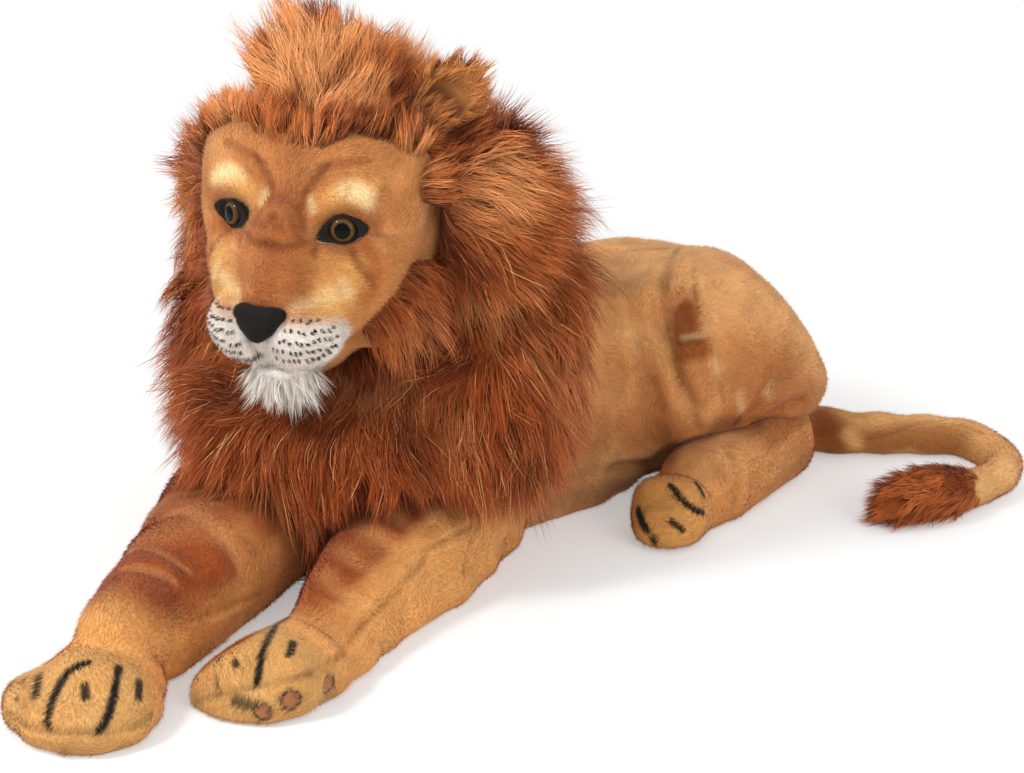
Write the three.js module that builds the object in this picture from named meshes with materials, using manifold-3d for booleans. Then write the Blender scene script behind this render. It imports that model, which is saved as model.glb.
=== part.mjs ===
// A large plush lion that lies on its belly with its head up. Millimetres, +Z up.
// The lion faces -Y and +X is its left side. The origin is on the flat of its belly.
// Its hindquarters and its tail curl round to its left.

import * as THREE from "three";
import { ConvexGeometry } from "three/addons/geometries/ConvexGeometry.js";
import { mergeVertices } from "three/addons/utils/BufferGeometryUtils.js";
import Module from "manifold-3d";

const wasm = await Module();
wasm.setup();

// Sizes that many pieces use
const seam = 0.3; // gap between two sewn pieces
const wall = 9; // plush pile and its backing
const sink = 18; // how far a stuffed form spreads into the floor it rests on
const clearance = 5; // room round a limb as it moves, of which its coarse outline takes 2
const overrun = 2000; // reach of every cutting block
const weld = 0.001; // vertices closer than this are one

// Torso
const torsoWidth = 308;
const torsoHeight = 309;
const chestReach = 212; // chest in front of the origin
const rumpReach = 462; // rump behind the origin
const rumpAside = 206; // how far the rump curls to the left

// Hips: the middle between the two thighs
const hipX = 130;
const hipY = 270;
const hipTurnDegrees = -22; // degrees, how far the hindquarters turn
const thighInset = 18; // how far the middle of each thigh lies inside the torso's side
const thighAside = torsoWidth / 2 - thighInset;
const thighBack = 66;
const thighWidth = 118;
const thighLength = 272;
const thighHeight = 240;
const leftThighRise = 136;
const rightThighRise = 106; // the lion leans on its right haunch

// Hind legs, measured from the hips
const hockAside = 128;
const hockBack = 132;
const hockRadius = 45;
const hockHeight = 100;
const toeAside = 203;
const toeAhead = 88;
const hindLegWidth = 126;
const hindLegHeight = 107;
const hindPawWidth = 102;
const hindPawLength = 116;
const hindPawHeight = 93;
const hindLegSwingDegrees = 12; // degrees outwards

// Forelegs
const elbowX = 94;
const elbowRise = 60;
const elbowRadius = 47;
const elbowWidth = 82;
const leftElbowY = 0;
const rightElbowY = -112;
const foreLegReach = 412; // elbow to wrist
const foreLegWidth = 136;
const foreLegHeight = 139;
const leftWristIn = 14; // how far each wrist lies inside its elbow
const rightWristIn = 38;
const forePawWidth = 150;
const forePawLength = 158;
const forePawHeight = 89;
const foreLegLiftDegrees = 10; // degrees upwards
const soleThickness = 4;

// Neck: its axis leans forward from the shoulders to the skull
const neckY = -70;
const neckZ = 275;
const neckLeanDegrees = 34.7; // degrees from upright
const neckRadius = 62;
const neckBallRadius = 102;
const shoulderPlane = 62; // along the neck axis, where the pieces of the torso end
const headPlane = 86; // along the neck axis, where the pieces of the head begin
const stumpFoot = 30;
const stumpTop = 128; // radius of the cap that the head nods on
const nodRoom = 14; // room for the stump inside the head
const nodSeam = 0.5; // gap under the head's cap
const fillingHole = 20;

// Head
const skullY = -156;
const skullZ = 410;
const skullWidth = 252;
const skullDepth = 206;
const skullHeight = 232;
const hollowShare = 0.78; // the hollow in the skull, of its size
const browY = -206;
const browZ = 430;
const browWidth = 222;
const browDepth = 134;
const browHeight = 136;
const cheekX = 62;
const cheekY = -200;
const cheekZ = 352;
const cheekWidth = 124;
const cheekDepth = 122;
const cheekHeight = 150;
const bridgeTopY = -236;
const bridgeTopZ = 442;
const bridgeTipY = -316;
const bridgeTipZ = 340;
const bridgeWidth = 84;
const bridgeDepth = 62;
const jawY = -238;
const jawZ = 302;
const jawWidth = 116;
const jawDepth = 112;
const jawHeight = 92;
const muzzleX = 30;
const muzzleY = -294;
const muzzleZ = 316;
const muzzleWidth = 74;
const muzzleDepth = 84;
const muzzleHeight = 68;
const chinY = -284;
const chinZ = 272;
const chinWidth = 72;
const chinDepth = 58;
const chinHeight = 44;
const noseY = -326;
const noseZ = 345;
const noseWidth = 50;
const noseDepth = 34;
const noseHeight = 32;
const beardY = -280;
const beardZ = 254;
const beardWidth = 62;
const beardDepth = 44;
const beardHeight = 44;

// Eyes, from the seat of each outwards
const eyeX = 59;
const eyeY = -262;
const eyeZ = 424;
const eyeAsideDegrees = 24; // degrees that each eye looks aside
const eyeRadius = 13.5;
const eyeDome = 8;
const irisThickness = 2;
const lidRim = 5;
const lidThickness = 4;
const shankRadius = 3.2;
const shankLength = 34;
const washerDepth = 30;
const washerRadius = 11;
const washerThickness = 2.4;

// Ears
const earX = 73;
const earY = -129;
const earZ = 496;
const earOutDegrees = 40.4; // lean of each ear aside
const earBackDegrees = 13.3; // lean of each ear to the back
const earAsideDegrees = 24; // degrees that each ear opens aside
const earFoot = 9;
const earWidth = 68;
const earHeight = 82;
const earThickness = 26;
const earHollowShare = 0.78;
const earLining = 3;
const earKnuckle = 14;
const earKnuckleWidth = 36;
const earFoldDegrees = 15; // degrees each way
const earRoom = 5;
const earOpening = 70; // the mane is open this far in front of each ear

// Mane
const maneWidth = 452;
const maneDepth = 240;
const maneHeight = 412;
const maneY = -118;
const maneZ = 408;
const faceY = -196; // the mane ends here round the face
const faceZ = 410;
const faceLeanDegrees = 18; // degrees that the face looks down
const crownZ = 500;
const capeWidth = 474;
const capeDepth = 292;
const capeFootY = -132;
const capeFootZ = 66;
const capeTopY = -30;
const capeTopZ = 462;
const bibWidth = 280;
const bibDepth = 118;
const bibHeight = 300;
const bibY = -232;
const bibZ = 168;

// Tail: a tube on the floor from the rump to the tuft
const tailRadius = 25;
const tailSink = 1;
const tailRootX = 238;
const tailRootY = 430;
const tailBendX = 350;
const tailBendY = 418;
const tailMiddleX = 437;
const tailMiddleY = 441;
const tailBackX = 508;
const tailBackY = 460;
const tailCurlX = 572;
const tailCurlY = 404;
const tailEndX = 572;
const tailEndY = 314;
const tuftTipX = 470;
const tuftTipY = 212;
const tuftWidth = 92;
const tuftHeight = 85;
const tailSwingDegrees = 15; // degrees, the most that any of its joints turns
const tailGap = 2.5; // room left between two lengths of tail when they swing their most

// Shares of the sizes above, from the front or the root of each form to its end:
// how far along, then its width and its height there
const torsoShares = [
  [0, 0.74, 0.86],
  [0.14, 0.9, 1],
  [0.3, 0.98, 0.99],
  [0.5, 0.94, 0.92],
  [0.7, 1, 0.95],
  [0.86, 0.98, 0.96],
  [1, 0.88, 0.84],
];
// The line of the torso: aside as a share of the curl, then along as a share of its length
const torsoLineShares = [
  [0, 0],
  [0, 0.2],
  [0.12, 0.4],
  [0.42, 0.65],
  [0.78, 0.86],
  [1, 1],
];
const foreLegShares = [
  [0, 0.94, 0.9],
  [0.2, 1, 1],
  [0.45, 0.98, 0.92],
  [0.72, 0.86, 0.76],
  [0.9, 0.78, 0.64],
  [1, 0.74, 0.6],
];
const pawShares = [
  [0, 0.72, 0.82],
  [0.3, 0.9, 0.94],
  [0.65, 1, 1],
  [0.85, 0.98, 0.9],
  [1, 0.86, 0.7],
];
const hindLegShares = [
  [0, 0.94, 0.96],
  [0.3, 1, 1],
  [0.7, 0.9, 0.9],
  [1, 0.84, 0.8],
];
const bridgeShares = [
  [0, 1, 1],
  [1, 0.72, 0.7],
];
const capeShares = [
  [0, 0.76, 0.66],
  [0.25, 0.96, 0.9],
  [0.6, 1, 1],
  [1, 0.78, 0.74],
];
const tailShares = [
  [0, 1, 1],
  [1, 1, 1],
];
const tuftShares = [
  [0, 0.5, 0.56],
  [0.3, 0.92, 0.94],
  [0.6, 1, 1],
  [0.85, 0.66, 0.66],
  [1, 0.24, 0.28],
];
const roundEndShare = 0.16; // the rounding of a form's end, of its length
const foreLegEndShare = 0.1;
const pawEndShare = 0.3;
const tailEndShare = 0.001; // its ends are square
const endDropShare = 0.4; // how far the ends of a form on the floor sag, of its half height
const heelShare = 0.2; // how far a paw reaches back over its leg, of the paw's length
const fullness = 0.84; // below one, sections are fuller than an oval
const bevelShare = 0.72; // the flat end of a knuckle, of its radius

// How finely the forms are divided
const limbKnuckleSides = 32;
const tailKnuckleSides = 24;
const earKnuckleSides = 16;
const neckSides = 36;
const capSteps = 5;
const coarse = { sides: 10, rings: 4, capRings: 2 }; // rooms for limbs to move in
const plain = { sides: 10, rings: 3, capRings: 1 }; // stuffings

const fabric = (color) => new THREE.MeshStandardMaterial({ color, roughness: 0.95, metalness: 0 });
const golden = fabric(0xc98f52);
const pawGold = fabric(0xdca762);
const rust = fabric(0x9a4f22);
const white = fabric(0xe8dfd2);
const black = fabric(0x17120f);
const suede = fabric(0x8a5532);
const fibre = fabric(0xf1eee6);
const clearPlastic = new THREE.MeshStandardMaterial({ color: 0xdfe6e4, roughness: 0.05, metalness: 0 });
const irisPaint = new THREE.MeshStandardMaterial({ color: 0x6e5130, roughness: 0.3, metalness: 0 });
const blackPlastic = new THREE.MeshStandardMaterial({ color: 0x101010, roughness: 0.4, metalness: 0 });

const at = (x, y, z) => new THREE.Vector3(x, y, z);
const up = at(0, 0, 1);
const lateral = at(1, 0, 0);
const radians = THREE.MathUtils.degToRad;

// A closed three.js geometry, moved by a matrix, as a solid that can be joined and cut
function solid(geometry, matrix = new THREE.Matrix4()) {
  const bare = geometry.clone();
  bare.deleteAttribute("normal");
  bare.deleteAttribute("uv");
  bare.applyMatrix4(matrix);
  const merged = mergeVertices(bare, weld);
  const corners = merged.index.array;
  const kept = [];
  for (let i = 0; i < corners.length; i += 3) {
    const [a, b, c] = corners.slice(i, i + 3);
    if (a !== b && b !== c && c !== a) kept.push(a, b, c);
  }
  const vertProperties = merged.attributes.position.array;
  const triVerts = new Uint32Array(kept);
  return new wasm.Manifold(new wasm.Mesh({ numProp: 3, vertProperties, triVerts }));
}

const join = (...solids) => solids.reduce((whole, one) => whole.add(one));
const cut = (whole, ...tools) => tools.reduce((left, tool) => left.subtract(tool), whole);

// Everything behind a plane: the side that its normal points away from
function behind(point, normal) {
  const turn = new THREE.Quaternion().setFromUnitVectors(up, normal);
  const middle = point.clone().addScaledVector(normal, -overrun / 2);
  const block = new THREE.BoxGeometry(overrun, overrun, overrun);
  return solid(block, new THREE.Matrix4().compose(middle, turn, at(1, 1, 1)));
}

const above = (rise) => behind(at(0, 0, rise), at(0, 0, -1));
const besideMiddle = (side) => behind(at((side * seam) / 2, 0, 0), at(-side, 0, 0));

// A turn about an axis through a point
function turned(point, axis, degrees) {
  return new THREE.Matrix4()
    .makeTranslation(point)
    .multiply(new THREE.Matrix4().makeRotationAxis(axis, radians(degrees)))
    .multiply(new THREE.Matrix4().makeTranslation(point.clone().negate()));
}

// An oval of the given full size, grown by a clearance
function oval(middle, width, depth, height, { grow = 0, sides = 16, turn } = {}) {
  const form = new THREE.SphereGeometry(0.5, sides, sides / 2);
  form.rotateX(Math.PI / 2);
  form.scale(width + 2 * grow, depth + 2 * grow, height + 2 * grow);
  if (turn) form.applyQuaternion(turn);
  return form.translate(middle.x, middle.y, middle.z);
}

// A turned form: a profile of [radius, along] about an axis through a point
function lathe(profile, point, direction, sides = 24) {
  const outline = profile.map(([radius, along]) => new THREE.Vector2(radius, along));
  const form = new THREE.LatheGeometry(outline, sides);
  form.applyQuaternion(new THREE.Quaternion().setFromUnitVectors(at(0, 1, 0), direction));
  return form.translate(point.x, point.y, point.z);
}

// A rod along an axis through a point, from one height on it to another
function rod(radius, from, to, point, direction, sides) {
  const profile = [
    [0, from],
    [radius, from],
    [radius, to],
    [0, to],
  ];
  return solid(lathe(profile, point, direction, sides));
}

// A round knuckle that turns in a hollow of its own shape: a drum with bevelled rims
function drum(radius, from, to, point, direction, sides) {
  const bevel = radius * (1 - bevelShare);
  const profile = [
    [0, from],
    [radius * bevelShare, from],
    [radius, from + bevel],
    [radius, to - bevel],
    [radius * bevelShare, to],
    [0, to],
  ];
  return solid(lathe(profile, point, direction, sides));
}

// The value of a table of shares at a place, eased between its rows
function shareAt(table, along, column) {
  const next = Math.max(1, table.findIndex((row) => row[0] >= along));
  const [before, after] = [table[next - 1], table[next]];
  const part = (along - before[0]) / (after[0] - before[0]);
  const eased = part * part * (3 - 2 * part);
  return before[column] + (after[column] - before[column]) * eased;
}

// Places along a form: round ends, and rings between them
function stations(rings, capRings, endShare) {
  const cap = (i) => (i / capRings) * (Math.PI / 2);
  const places = [];
  for (let i = 0; i < capRings; i++) {
    const out = Math.cos(cap(i));
    places.push({ along: endShare * (1 - out), round: Math.sin(cap(i)), out: -out });
  }
  for (let i = 0; i <= rings; i++) {
    places.push({ along: endShare + ((1 - 2 * endShare) * i) / rings, round: 1, out: 0 });
  }
  for (let i = capRings - 1; i >= 0; i--) {
    const out = Math.cos(cap(i));
    places.push({ along: 1 - endShare * (1 - out), round: Math.sin(cap(i)), out });
  }
  return places;
}

// A stuffed form: full oval sections along a line, with round ends, grown by a clearance.
// A form that rests on the floor has its middle half its height up, less what it sinks.
function stuffed(line, width, height, shares, options = {}) {
  const { grow = 0, sides = 12, rings = 4, capRings = 2, endShare = roundEndShare } = options;
  const { rests = true, into = sink } = options;
  const curve = new THREE.CatmullRomCurve3(line, false, "centripetal");
  const places = stations(rings, capRings, endShare);
  const full = (value) => Math.sign(value) * Math.abs(value) ** fullness;
  const points = [];
  places.forEach(({ along, round, out }, row) => {
    const middle = curve.getPointAt(along);
    const forward = curve.getTangentAt(along);
    if (rests) forward.setZ(0).normalize();
    const side = forward.clone().cross(up).normalize();
    const top = side.clone().cross(forward);
    const halfWidth = (width * shareAt(shares, along, 1)) / 2 + grow;
    const halfHeight = (height * shareAt(shares, along, 2)) / 2;
    if (rests) middle.z = halfHeight * (1 - endDropShare * (1 - round)) - into;
    middle.addScaledVector(forward, out * grow);
    const atPole = row === 0 || row === places.length - 1;
    const size = atPole ? 0 : round;
    for (let i = 0; i < sides; i++) {
      const angle = (i / sides) * 2 * Math.PI;
      const point = middle.clone();
      point.addScaledVector(side, size * halfWidth * full(Math.cos(angle)));
      point.addScaledVector(top, size * (halfHeight + grow) * full(Math.sin(angle)));
      points.push(...point.toArray());
    }
  });
  const corners = [];
  for (let row = 0; row < places.length - 1; row++) {
    for (let i = 0; i < sides; i++) {
      const here = row * sides + i;
      const beside = row * sides + ((i + 1) % sides);
      corners.push(here, here + sides, beside);
      corners.push(beside, here + sides, beside + sides);
    }
  }
  const form = new THREE.BufferGeometry();
  form.setAttribute("position", new THREE.Float32BufferAttribute(points, 3));
  form.setIndex(corners);
  return form;
}

// All that some forms pass through as they turn about an axis
function swept(forms, pivot, axis, fromDegrees, toDegrees) {
  const points = [];
  for (const degrees of [fromDegrees, (fromDegrees + toDegrees) / 2, toDegrees]) {
    const turn = turned(pivot, axis, degrees);
    for (const form of forms) {
      const places = form.attributes.position;
      for (let i = 0; i < places.count; i++) {
        points.push(new THREE.Vector3().fromBufferAttribute(places, i).applyMatrix4(turn));
      }
    }
  }
  return solid(new ConvexGeometry(points));
}

// The scene: a group for each body that moves, placed at the point that it turns about
const lion = new THREE.Group();

function bodyGroup(pivot, parent) {
  const group = new THREE.Group();
  group.position.copy(pivot).sub(new THREE.Vector3().setFromMatrixPosition(parent.matrixWorld));
  parent.add(group);
  group.updateWorldMatrix(true, false);
  return group;
}

// Adds a piece, made in the lion's own frame, to the group of its body. Of what its cuts leave,
// only the largest body is kept.
function addPiece(group, name, whole, material) {
  const bodies = whole.decompose();
  const main = bodies.reduce((best, one) => (one.volume() > best.volume() ? one : best));
  const mesh = main.getMesh();
  const points = new Float32Array(mesh.numVert * 3);
  for (let i = 0; i < mesh.numVert; i++) {
    points.set(mesh.vertProperties.subarray(i * mesh.numProp, i * mesh.numProp + 3), i * 3);
  }
  const geometry = new THREE.BufferGeometry();
  geometry.setAttribute("position", new THREE.BufferAttribute(points, 3));
  geometry.setIndex(new THREE.BufferAttribute(new Uint32Array(mesh.triVerts), 1));
  const base = new THREE.Vector3().setFromMatrixPosition(group.matrixWorld);
  geometry.translate(-base.x, -base.y, -base.z);
  geometry.computeVertexNormals();
  const piece = new THREE.Mesh(geometry, material);
  piece.name = name;
  group.add(piece);
}

const bothSides = [
  { word: "left", side: 1, elbowY: leftElbowY, wristIn: leftWristIn, thighRise: leftThighRise },
  { word: "right", side: -1, elbowY: rightElbowY, wristIn: rightWristIn, thighRise: rightThighRise },
];
const floor = above(0);

// A place in the hindquarters, from the hips: aside to the left and back to the rear
const hipAxis = new THREE.Quaternion().setFromAxisAngle(up, radians(hipTurnDegrees));
const fromHips = (aside, back, rise) => at(aside, back, 0).applyQuaternion(hipAxis).add(at(hipX, hipY, rise));

const neckPivot = at(0, neckY, neckZ);
const neckAxis = at(0, -Math.sin(radians(neckLeanDegrees)), Math.cos(radians(neckLeanDegrees)));
const alongNeck = (reach) => neckPivot.clone().addScaledVector(neckAxis, reach);
const belowShoulders = behind(alongNeck(shoulderPlane), neckAxis);
const aboveNape = behind(alongNeck(headPlane), neckAxis.clone().negate());

// Forms of the torso and the limbs, each grown by a clearance

function torsoForm(grow, detail = { sides: 16, rings: 7, capRings: 3 }) {
  const length = chestReach + rumpReach;
  const line = torsoLineShares.map(([aside, along]) => at(aside * rumpAside, along * length - chestReach, 0));
  return stuffed(line, torsoWidth, torsoHeight, torsoShares, { grow, ...detail });
}

function thighForm(side, rise) {
  const middle = fromHips(side * thighAside, thighBack, rise);
  return oval(middle, thighWidth, thighLength, thighHeight, { turn: hipAxis, sides: 14 });
}

const pawForm = (heel, tip, width, height, detail) =>
  stuffed([heel, tip], width, height, pawShares, { rings: 3, ...detail, endShare: pawEndShare });

function foreLeg({ side, elbowY, wristIn }) {
  const elbow = at(side * elbowX, elbowY, elbowRise);
  const wrist = at(side * (elbowX - wristIn), elbowY - foreLegReach, 0);
  const ahead = wrist.clone().sub(elbow).setZ(0).normalize();
  const heel = wrist.clone().addScaledVector(ahead, -forePawLength * heelShare);
  const tip = heel.clone().addScaledVector(ahead, forePawLength);
  const leg = (detail) =>
    stuffed([elbow, wrist], foreLegWidth, foreLegHeight, foreLegShares, { ...detail, endShare: foreLegEndShare });
  const paw = (detail) => pawForm(heel, tip, forePawWidth, forePawHeight, detail);
  const half = elbowWidth / 2;
  const knuckle = (grow, sides = limbKnuckleSides) =>
    rod(elbowRadius + grow, -half - grow, half + grow, elbow, lateral, sides);
  const sweep = (grow) => {
    const forms = [leg({ ...coarse, grow }), paw({ ...coarse, grow })];
    return swept(forms, elbow, lateral, 0, -foreLegLiftDegrees);
  };
  return { pivot: elbow, leg, paw, knuckle, sweep };
}

function hindLeg({ side }) {
  const hock = fromHips(side * hockAside, hockBack, 0);
  const toe = fromHips(side * toeAside, -toeAhead, 0);
  const ahead = toe.clone().sub(hock).normalize();
  const root = hock.clone().addScaledVector(ahead, -hockRadius);
  const heel = toe.clone().addScaledVector(ahead, -hindPawLength * heelShare);
  const tip = heel.clone().addScaledVector(ahead, hindPawLength);
  const leg = (detail) => stuffed([root, toe], hindLegWidth, hindLegHeight, hindLegShares, detail);
  const paw = (detail) => pawForm(heel, tip, hindPawWidth, hindPawHeight, detail);
  const knuckle = (grow, sides = limbKnuckleSides) =>
    rod(hockRadius + grow, -grow, hockHeight + grow, hock, up, sides);
  const sweep = (grow) => {
    const forms = [leg({ ...coarse, grow }), paw({ ...coarse, grow })];
    return swept(forms, hock, up, 0, side * hindLegSwingDegrees);
  };
  return { pivot: hock, leg, paw, knuckle, sweep };
}

const foreLegs = bothSides.map((one) => ({ ...one, ...foreLeg(one) }));
const hindLegs = bothSides.map((one) => ({ ...one, ...hindLeg(one) }));
const limbs = [...foreLegs, ...hindLegs];
const limbRoom = limbs.flatMap(({ sweep, knuckle }) => [sweep(clearance), knuckle(seam)]);
const limbRoomInside = (gap) =>
  limbs.flatMap(({ sweep, knuckle }) => [sweep(clearance + wall + gap), knuckle(wall + gap, 12)]);

// Tail: three lengths of tube that hinge about upright knuckles
const tailLines = [
  [at(tailRootX, tailRootY, 0), at(tailBendX, tailBendY, 0), at(tailMiddleX, tailMiddleY, 0)],
  [at(tailMiddleX, tailMiddleY, 0), at(tailBackX, tailBackY, 0), at(tailCurlX, tailCurlY, 0)],
  [at(tailCurlX, tailCurlY, 0), at(tailEndX, tailEndY, 0)],
];
const tailCurve = new THREE.CatmullRomCurve3(
  [...tailLines[0], ...tailLines[1].slice(1), ...tailLines[2].slice(1), at(tuftTipX, tuftTipY, 0)],
  false,
  "centripetal",
);

// The centreline of the tail from one of its given points to a later one
function tailStretch(from, to) {
  const spans = tailCurve.points.length - 1;
  const steps = 3 * (to - from);
  const line = [];
  for (let i = 0; i <= steps; i++) line.push(tailCurve.getPoint((from + (i / steps) * (to - from)) / spans));
  return line;
}

const tailTube = (line, grow, rings) =>
  stuffed(line, 2 * tailRadius, 2 * tailRadius, tailShares, {
    grow,
    rings,
    sides: 10,
    capRings: 1,
    endShare: tailEndShare,
    into: tailSink,
  });

const tailKnuckle = (place, grow) =>
  drum(tailRadius + grow, -tailSink - grow, 2 * tailRadius - tailSink + grow, place, up, tailKnuckleSides);
const tailTrim = tailRadius * Math.sin(radians(tailSwingDegrees)) + tailGap;

// A length of tail: behind its own hinge a knuckle, before the next hinge a hollow for that knuckle
function tailLength(from, to, last) {
  const line = tailStretch(from, to);
  const pivot = line[0];
  const end = line[line.length - 1];
  const ahead = end.clone().sub(line[line.length - 2]).normalize();
  const tube = solid(tailTube(line, 0, 3 * (to - from)));
  const whole = join(tube, tailKnuckle(pivot, 0));
  if (last) return { pivot, whole };
  const short = behind(end.clone().addScaledVector(ahead, -tailTrim), ahead);
  return { pivot, whole: cut(whole.intersect(short), tailKnuckle(end, seam)) };
}

const tailLengths = [
  { name: "tail_base", ...tailLength(0, 2, false) },
  { name: "tail_middle", ...tailLength(2, 4, false) },
  { name: "tail_end", ...tailLength(4, 5, true) },
];
const tailRoot = tailLines[0][0];
const tailRoom = (grow, knuckleGrow) => [
  swept([tailTube(tailStretch(0, 1), grow, 2)], tailRoot, up, -tailSwingDegrees, tailSwingDegrees),
  tailKnuckle(tailRoot, knuckleGrow),
];

// Torso and haunches
const torso = bodyGroup(at(0, 0, 0), lion);
const stumpSocket = rod(neckRadius + seam, stumpFoot - seam, overrun, neckPivot, neckAxis, neckSides);
const stumpWall = (gap) =>
  rod(neckRadius + wall + gap, stumpFoot - wall - gap, overrun, neckPivot, neckAxis, 14);
const shoulders = (grow) => {
  const size = 2 * neckBallRadius;
  return join(solid(torsoForm(grow)), solid(oval(neckPivot, size, size, size, { grow, sides: 12 })));
};
const torsoHollow = (gap) => {
  const form = solid(torsoForm(-wall - gap, { sides: 12, rings: 5, capRings: 2 })).intersect(above(wall + gap));
  return cut(form, ...limbRoomInside(gap), ...tailRoom(clearance + wall + gap, wall + gap), stumpWall(gap));
};
const fillingMouth = rod(fillingHole, -neckBallRadius, stumpFoot, neckPivot, neckAxis, 12);
const torsoCover = shoulders(0).intersect(belowShoulders).intersect(floor);

addPiece(
  torso,
  "torso_cover",
  cut(torsoCover, ...limbRoom, ...tailRoom(clearance, seam), stumpSocket, torsoHollow(0), fillingMouth),
  golden,
);
addPiece(torso, "torso_stuffing", torsoHollow(seam), fibre);
for (const { word, side, thighRise } of bothSides) {
  const form = solid(thighForm(side, thighRise)).intersect(floor);
  const room = [solid(torsoForm(seam)), ...limbRoom, ...tailRoom(clearance, seam)];
  addPiece(torso, "thigh_" + word, cut(form, ...room), golden);
}

// Limbs: a plush sleeve round its stuffing, and a paw on a suede sole
function addLimb(limb, legName, pawName) {
  const { word, pivot, leg, paw, knuckle } = limb;
  const group = bodyGroup(pivot, torso);
  const outside = join(solid(leg()), knuckle(0)).intersect(floor);
  const inside = (gap) => solid(leg({ ...plain, grow: -wall - gap })).intersect(above(wall + gap));
  const pawSolid = solid(paw());
  const pawRoom = solid(paw({ grow: seam }));
  addPiece(group, legName + "_" + word, cut(outside, inside(0), pawRoom), golden);
  addPiece(group, legName + "_stuffing_" + word, cut(inside(seam), pawRoom), fibre);
  addPiece(group, pawName + "_" + word, pawSolid.intersect(above(soleThickness + seam)), pawGold);
  const sole = pawSolid.intersect(floor).intersect(behind(at(0, 0, soleThickness), up));
  addPiece(group, pawName + "_sole_" + word, sole, suede);
}

for (const limb of foreLegs) addLimb(limb, "foreleg", "forepaw");
for (const limb of hindLegs) addLimb(limb, "hind_leg", "hind_paw");

// Tail: each length turns on the one before it, and the tuft closes round the last
let tailParent = torso;
for (const { name, pivot, whole } of tailLengths) {
  tailParent = bodyGroup(pivot, tailParent);
  addPiece(tailParent, name, whole.intersect(floor), golden);
}
const tuft = stuffed(tailStretch(5, 6), tuftWidth, tuftHeight, tuftShares);
const tailEndTube = solid(tailTube(tailStretch(4, 5), seam, 3));
addPiece(tailParent, "tail_tuft", cut(solid(tuft).intersect(floor), tailEndTube), rust);

// Neck: a stump that turns in the shoulders, with a round cap that the head nods on
const neck = bodyGroup(neckPivot, torso);

function stumpProfile(radius, from, capRadius, steps = capSteps) {
  const rim = Math.asin(radius / capRadius);
  const profile = [
    [0, from],
    [radius, from],
  ];
  for (let i = steps; i >= 0; i--) {
    const angle = (rim * i) / steps;
    profile.push([i === 0 ? 0 : capRadius * Math.sin(angle), capRadius * Math.cos(angle)]);
  }
  return profile;
}

const stump = lathe(stumpProfile(neckRadius, stumpFoot, stumpTop), neckPivot, neckAxis, neckSides);
addPiece(neck, "neck", solid(stump), golden);

// Head
const head = bodyGroup(neckPivot, neck);
const skullMiddle = at(0, skullY, skullZ);

function headForm(grow) {
  const bridgeLine = [at(0, bridgeTopY, bridgeTopZ), at(0, bridgeTipY, bridgeTipZ)];
  const bridge = stuffed(bridgeLine, bridgeWidth, bridgeDepth, bridgeShares, {
    grow,
    sides: 10,
    rings: 1,
    rests: false,
  });
  const cheeks = bothSides.map(({ side }) =>
    solid(oval(at(side * cheekX, cheekY, cheekZ), cheekWidth, cheekDepth, cheekHeight, { grow, sides: 10 })),
  );
  return join(
    solid(oval(skullMiddle, skullWidth, skullDepth, skullHeight, { grow })),
    solid(oval(at(0, browY, browZ), browWidth, browDepth, browHeight, { grow, sides: 14 })),
    solid(oval(at(0, jawY, jawZ), jawWidth, jawDepth, jawHeight, { grow, sides: 10 })),
    solid(bridge),
    ...cheeks,
  );
}

// Eyes: dome and iris on a seat, a rim of felt round them, and a shank with a washer inside
const eyes = bothSides.map(({ word, side }) => {
  const looks = at(side * Math.sin(radians(eyeAsideDegrees)), -Math.cos(radians(eyeAsideDegrees)), 0);
  const irisFront = seam + irisThickness;
  const seat = at(side * eyeX, eyeY, eyeZ).addScaledVector(looks, -(irisFront + seam + eyeDome));
  return { word, looks, seat, irisFront };
});

function eyeRing(inner, outer, from, to, { seat, looks }, sides) {
  return cut(rod(outer, from, to, seat, looks, sides), rod(inner, from - seam, to + seam, seat, looks, sides));
}

const lidRadius = eyeRadius + seam + lidRim;
const eyeRoom = eyes.flatMap(({ seat, looks }) => [
  rod(lidRadius + seam, 0, overrun, seat, looks, 16),
  rod(shankRadius + seam, -shankLength, seam, seat, looks, 8),
  rod(washerRadius + seam, -skullDepth / 2, -washerDepth + washerThickness + seam, seat, looks, 12),
]);

for (const eye of eyes) {
  const { word, looks, seat, irisFront } = eye;
  const domeFoot = irisFront + seam;
  const curve = (eyeRadius ** 2 + eyeDome ** 2) / (2 * eyeDome);
  const domeProfile = [[0, domeFoot]];
  for (let i = capSteps; i >= 0; i--) {
    const angle = (Math.asin(eyeRadius / curve) * i) / capSteps;
    const along = domeFoot + eyeDome - curve + curve * Math.cos(angle);
    domeProfile.push([i === 0 ? 0 : curve * Math.sin(angle), along]);
  }
  addPiece(head, "eye_dome_" + word, solid(lathe(domeProfile, seat, looks, 16)), clearPlastic);
  addPiece(head, "eye_iris_" + word, rod(eyeRadius, seam, irisFront, seat, looks, 16), irisPaint);
  const lid = eyeRing(eyeRadius + seam, lidRadius, seam, seam + lidThickness, eye, 16);
  addPiece(head, "eyelid_" + word, lid, black);
  addPiece(head, "eye_shank_" + word, rod(shankRadius, -shankLength, 0, seat, looks, 8), blackPlastic);
  const washerFrom = -washerDepth;
  const washerTo = washerFrom + washerThickness;
  const washer = eyeRing(shankRadius + seam, washerRadius, washerFrom, washerTo, eye, 12);
  addPiece(head, "eye_washer_" + word, washer, blackPlastic);
}

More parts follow.
